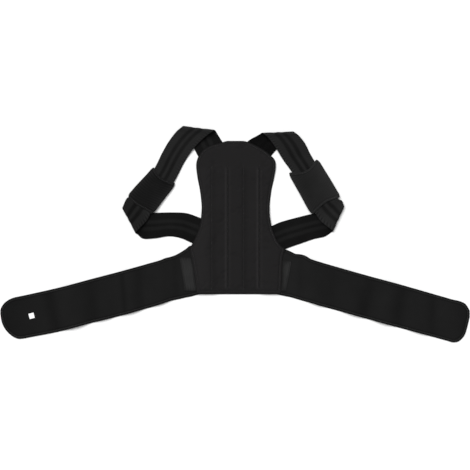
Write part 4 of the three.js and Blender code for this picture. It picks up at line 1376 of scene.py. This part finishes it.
def make_sleeve(side):
    facts = side["sleeve"]
    start, end = side["sleeved"]
    rows = round((end - start) / (SLEEVE_RIB / 6))
    share = np.linspace(0, 1, rows)[:, None]
    width = SLEEVE_WIDTH * facts["wide"] / 2
    beside = SLEEVE_BESIDE
    starts, ends = start + hem_bow(side, beside, 0), end + hem_bow(side, beside, 1)
    lengths = starts + (ends - starts) * share
    from_end = np.minimum(lengths - starts, ends - lengths)
    hem = 1 - ease(from_end, SLEEVE_HEM - 0.0006, SLEEVE_HEM + 0.0006)
    groove = hump(from_end, SLEEVE_HEM + 0.0009, 0.0008)
    lip = np.sqrt(np.clip(from_end / 0.0009, 0.05, 1))
    phase = 2 * math.pi * ((end - start) * share + facts["skew"] * beside * width) / SLEEVE_RIB
    ribs = np.sin(phase) * (1 - hem)
    sag = 0.0003 * np.sin(share * 9 + beside * 2) * np.sin(share * 4 + 1)
    relief = 0.00014 * ribs + 0.0004 * hem * lip - 0.0005 * groove - 0.0006 * (1 - lip) + sag
    outer = sleeve_skin(side, lengths, from_end, width, SLEEVE_INSIDE + SLEEVE_WALL + relief)
    inner = sleeve_skin(side, lengths, from_end, width - SLEEVE_WALL, SLEEVE_INSIDE)
    outer[..., 2] = np.maximum(outer[..., 2], 0)
    rings = np.concatenate([outer, inner[::-1]])
    weave = np.stack(np.broadcast_arrays(beside * width, lengths), -1)
    # Painted light and shade on the ribs, stronger towards the sides, and the sides paler.
    rib_shading_and_pale_sides = (0.04 + 0.14 * beside**2) * ribs + 0.4 * beside**4
    # The raised hem is painted paler and the groove beside it darker, as painted light and shade.
    tone_and_painted_light = 0.5 + facts["shade"] + facts["tilt"] * beside + rib_shading_and_pale_sides + 0.12 * hem - 0.16 * groove
    # The inner wall is painted dark, as the shade inside the tube.
    tone_and_painted_light = np.concatenate([np.clip(tone_and_painted_light, 0, 1), np.full(tone_and_painted_light.shape, 0.1)])
    weave = np.concatenate([weave, weave[::-1]])
    return make_tube(side["name"] + "_sleeve", rings, weave, tone_and_painted_light, SLEEVE_KNIT, "sleeve_knit", joined=True)


def sleeve_stitches(side):
    """Two rows of stitches on the upper face, one by each hem."""
    start, end = side["sleeved"]
    width = SLEEVE_WIDTH * side["sleeve"]["wide"] / 2
    places = np.linspace(-0.82, 0.82, 60)
    tall = np.sqrt(1 - flattened(places, 2) ** 2) ** 0.6
    rise = tall * (SLEEVE_INSIDE + SLEEVE_WALL + HEM_STITCH_LIFT)
    lines, ups = [], []
    middle = (side["inner"] + side["outer"]) / 2
    for number, length in enumerate((start + HEM_STITCHED, end - HEM_STITCHED)):
        at = length + hem_bow(side, places, number)
        sideways = unit(along_loop(side, side["outer"] - side["inner"], at))
        way = along_loop(side, np.gradient(middle, axis=0), at)
        up = unit(np.cross(way, sideways) * side["sign"])
        over = places * width * sleeve_reach(side, at, HEM_STITCHED)
        lines.append(along_loop(side, middle, at) + sideways * over[:, None] + up * rise[:, None])
        ups.append(up.mean(0))
    return make_stitches(side["name"] + "_sleeve_stitches", lines, "sleeve_knit", ups)


for side in SIDES:
    side["tube"] = make_sleeve(side)
    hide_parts(side["name"] + "_strap_sleeve")
    side["tube_stitches"] = sleeve_stitches(side)

# %% [markdown]
# ## The bare label
#
# A small white square of woven tape is sewn near the left wing's end. It is left bare. It is
# so small that a plain box would do from afar, but close by a label shows its turned edges
# and the sewn lines that hold its two ends, so it gets raised edges and a pressed, darker line
# across each end.

# %% Make the label
LABEL_WIDTH = 0.0105
LABEL_HEIGHT = 0.011
LABEL_THICKNESS = 0.0006
LABEL_OUT, LABEL_ACROSS = 0.84, 0.49
LABEL_CELLS = 25


def make_label():
    turn = math.atan2(WING_DROP, WING_LENGTH)
    u, v = np.meshgrid(np.linspace(-1, 1, LABEL_CELLS), np.linspace(-1, 1, LABEL_CELLS))
    rim = np.minimum(1 - np.abs(u), 1 - np.abs(v))
    sewn = hump(1 - np.abs(v), 0.22, 0.08)
    rise = 0.55 + 0.45 * np.sqrt(np.clip(rim / 0.12, 0, 1)) - 0.25 * sewn
    across, along = u * LABEL_WIDTH / 2, v * LABEL_HEIGHT / 2
    centre_x = wing_x(LEFT, LABEL_OUT)
    centre_y = wing_low(LEFT, LABEL_OUT) + wing_height(LEFT, LABEL_OUT) * LABEL_ACROSS
    x = centre_x + across * math.cos(turn) - along * math.sin(turn)
    y = centre_y + across * math.sin(turn) + along * math.cos(turn)
    low = WING_THICKNESS + LAYER_GAP / 4
    upper = np.stack([x, y, low + (LABEL_THICKNESS + LAYER_GAP / 2) * rise], -1)
    lower = np.stack([x, y, np.full_like(x, low)], -1)
    tone_and_painted_light = np.clip(0.8 - 0.3 * sewn, 0, 1)
    weave = np.stack([across, along], -1)
    label = make_wall("label_square", upper, lower, weave, tone_and_painted_light, 0.6, LABEL_CLOTH, "label_cloth")
    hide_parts("size_label")
    return label


LEFT["trim"].append(make_label())
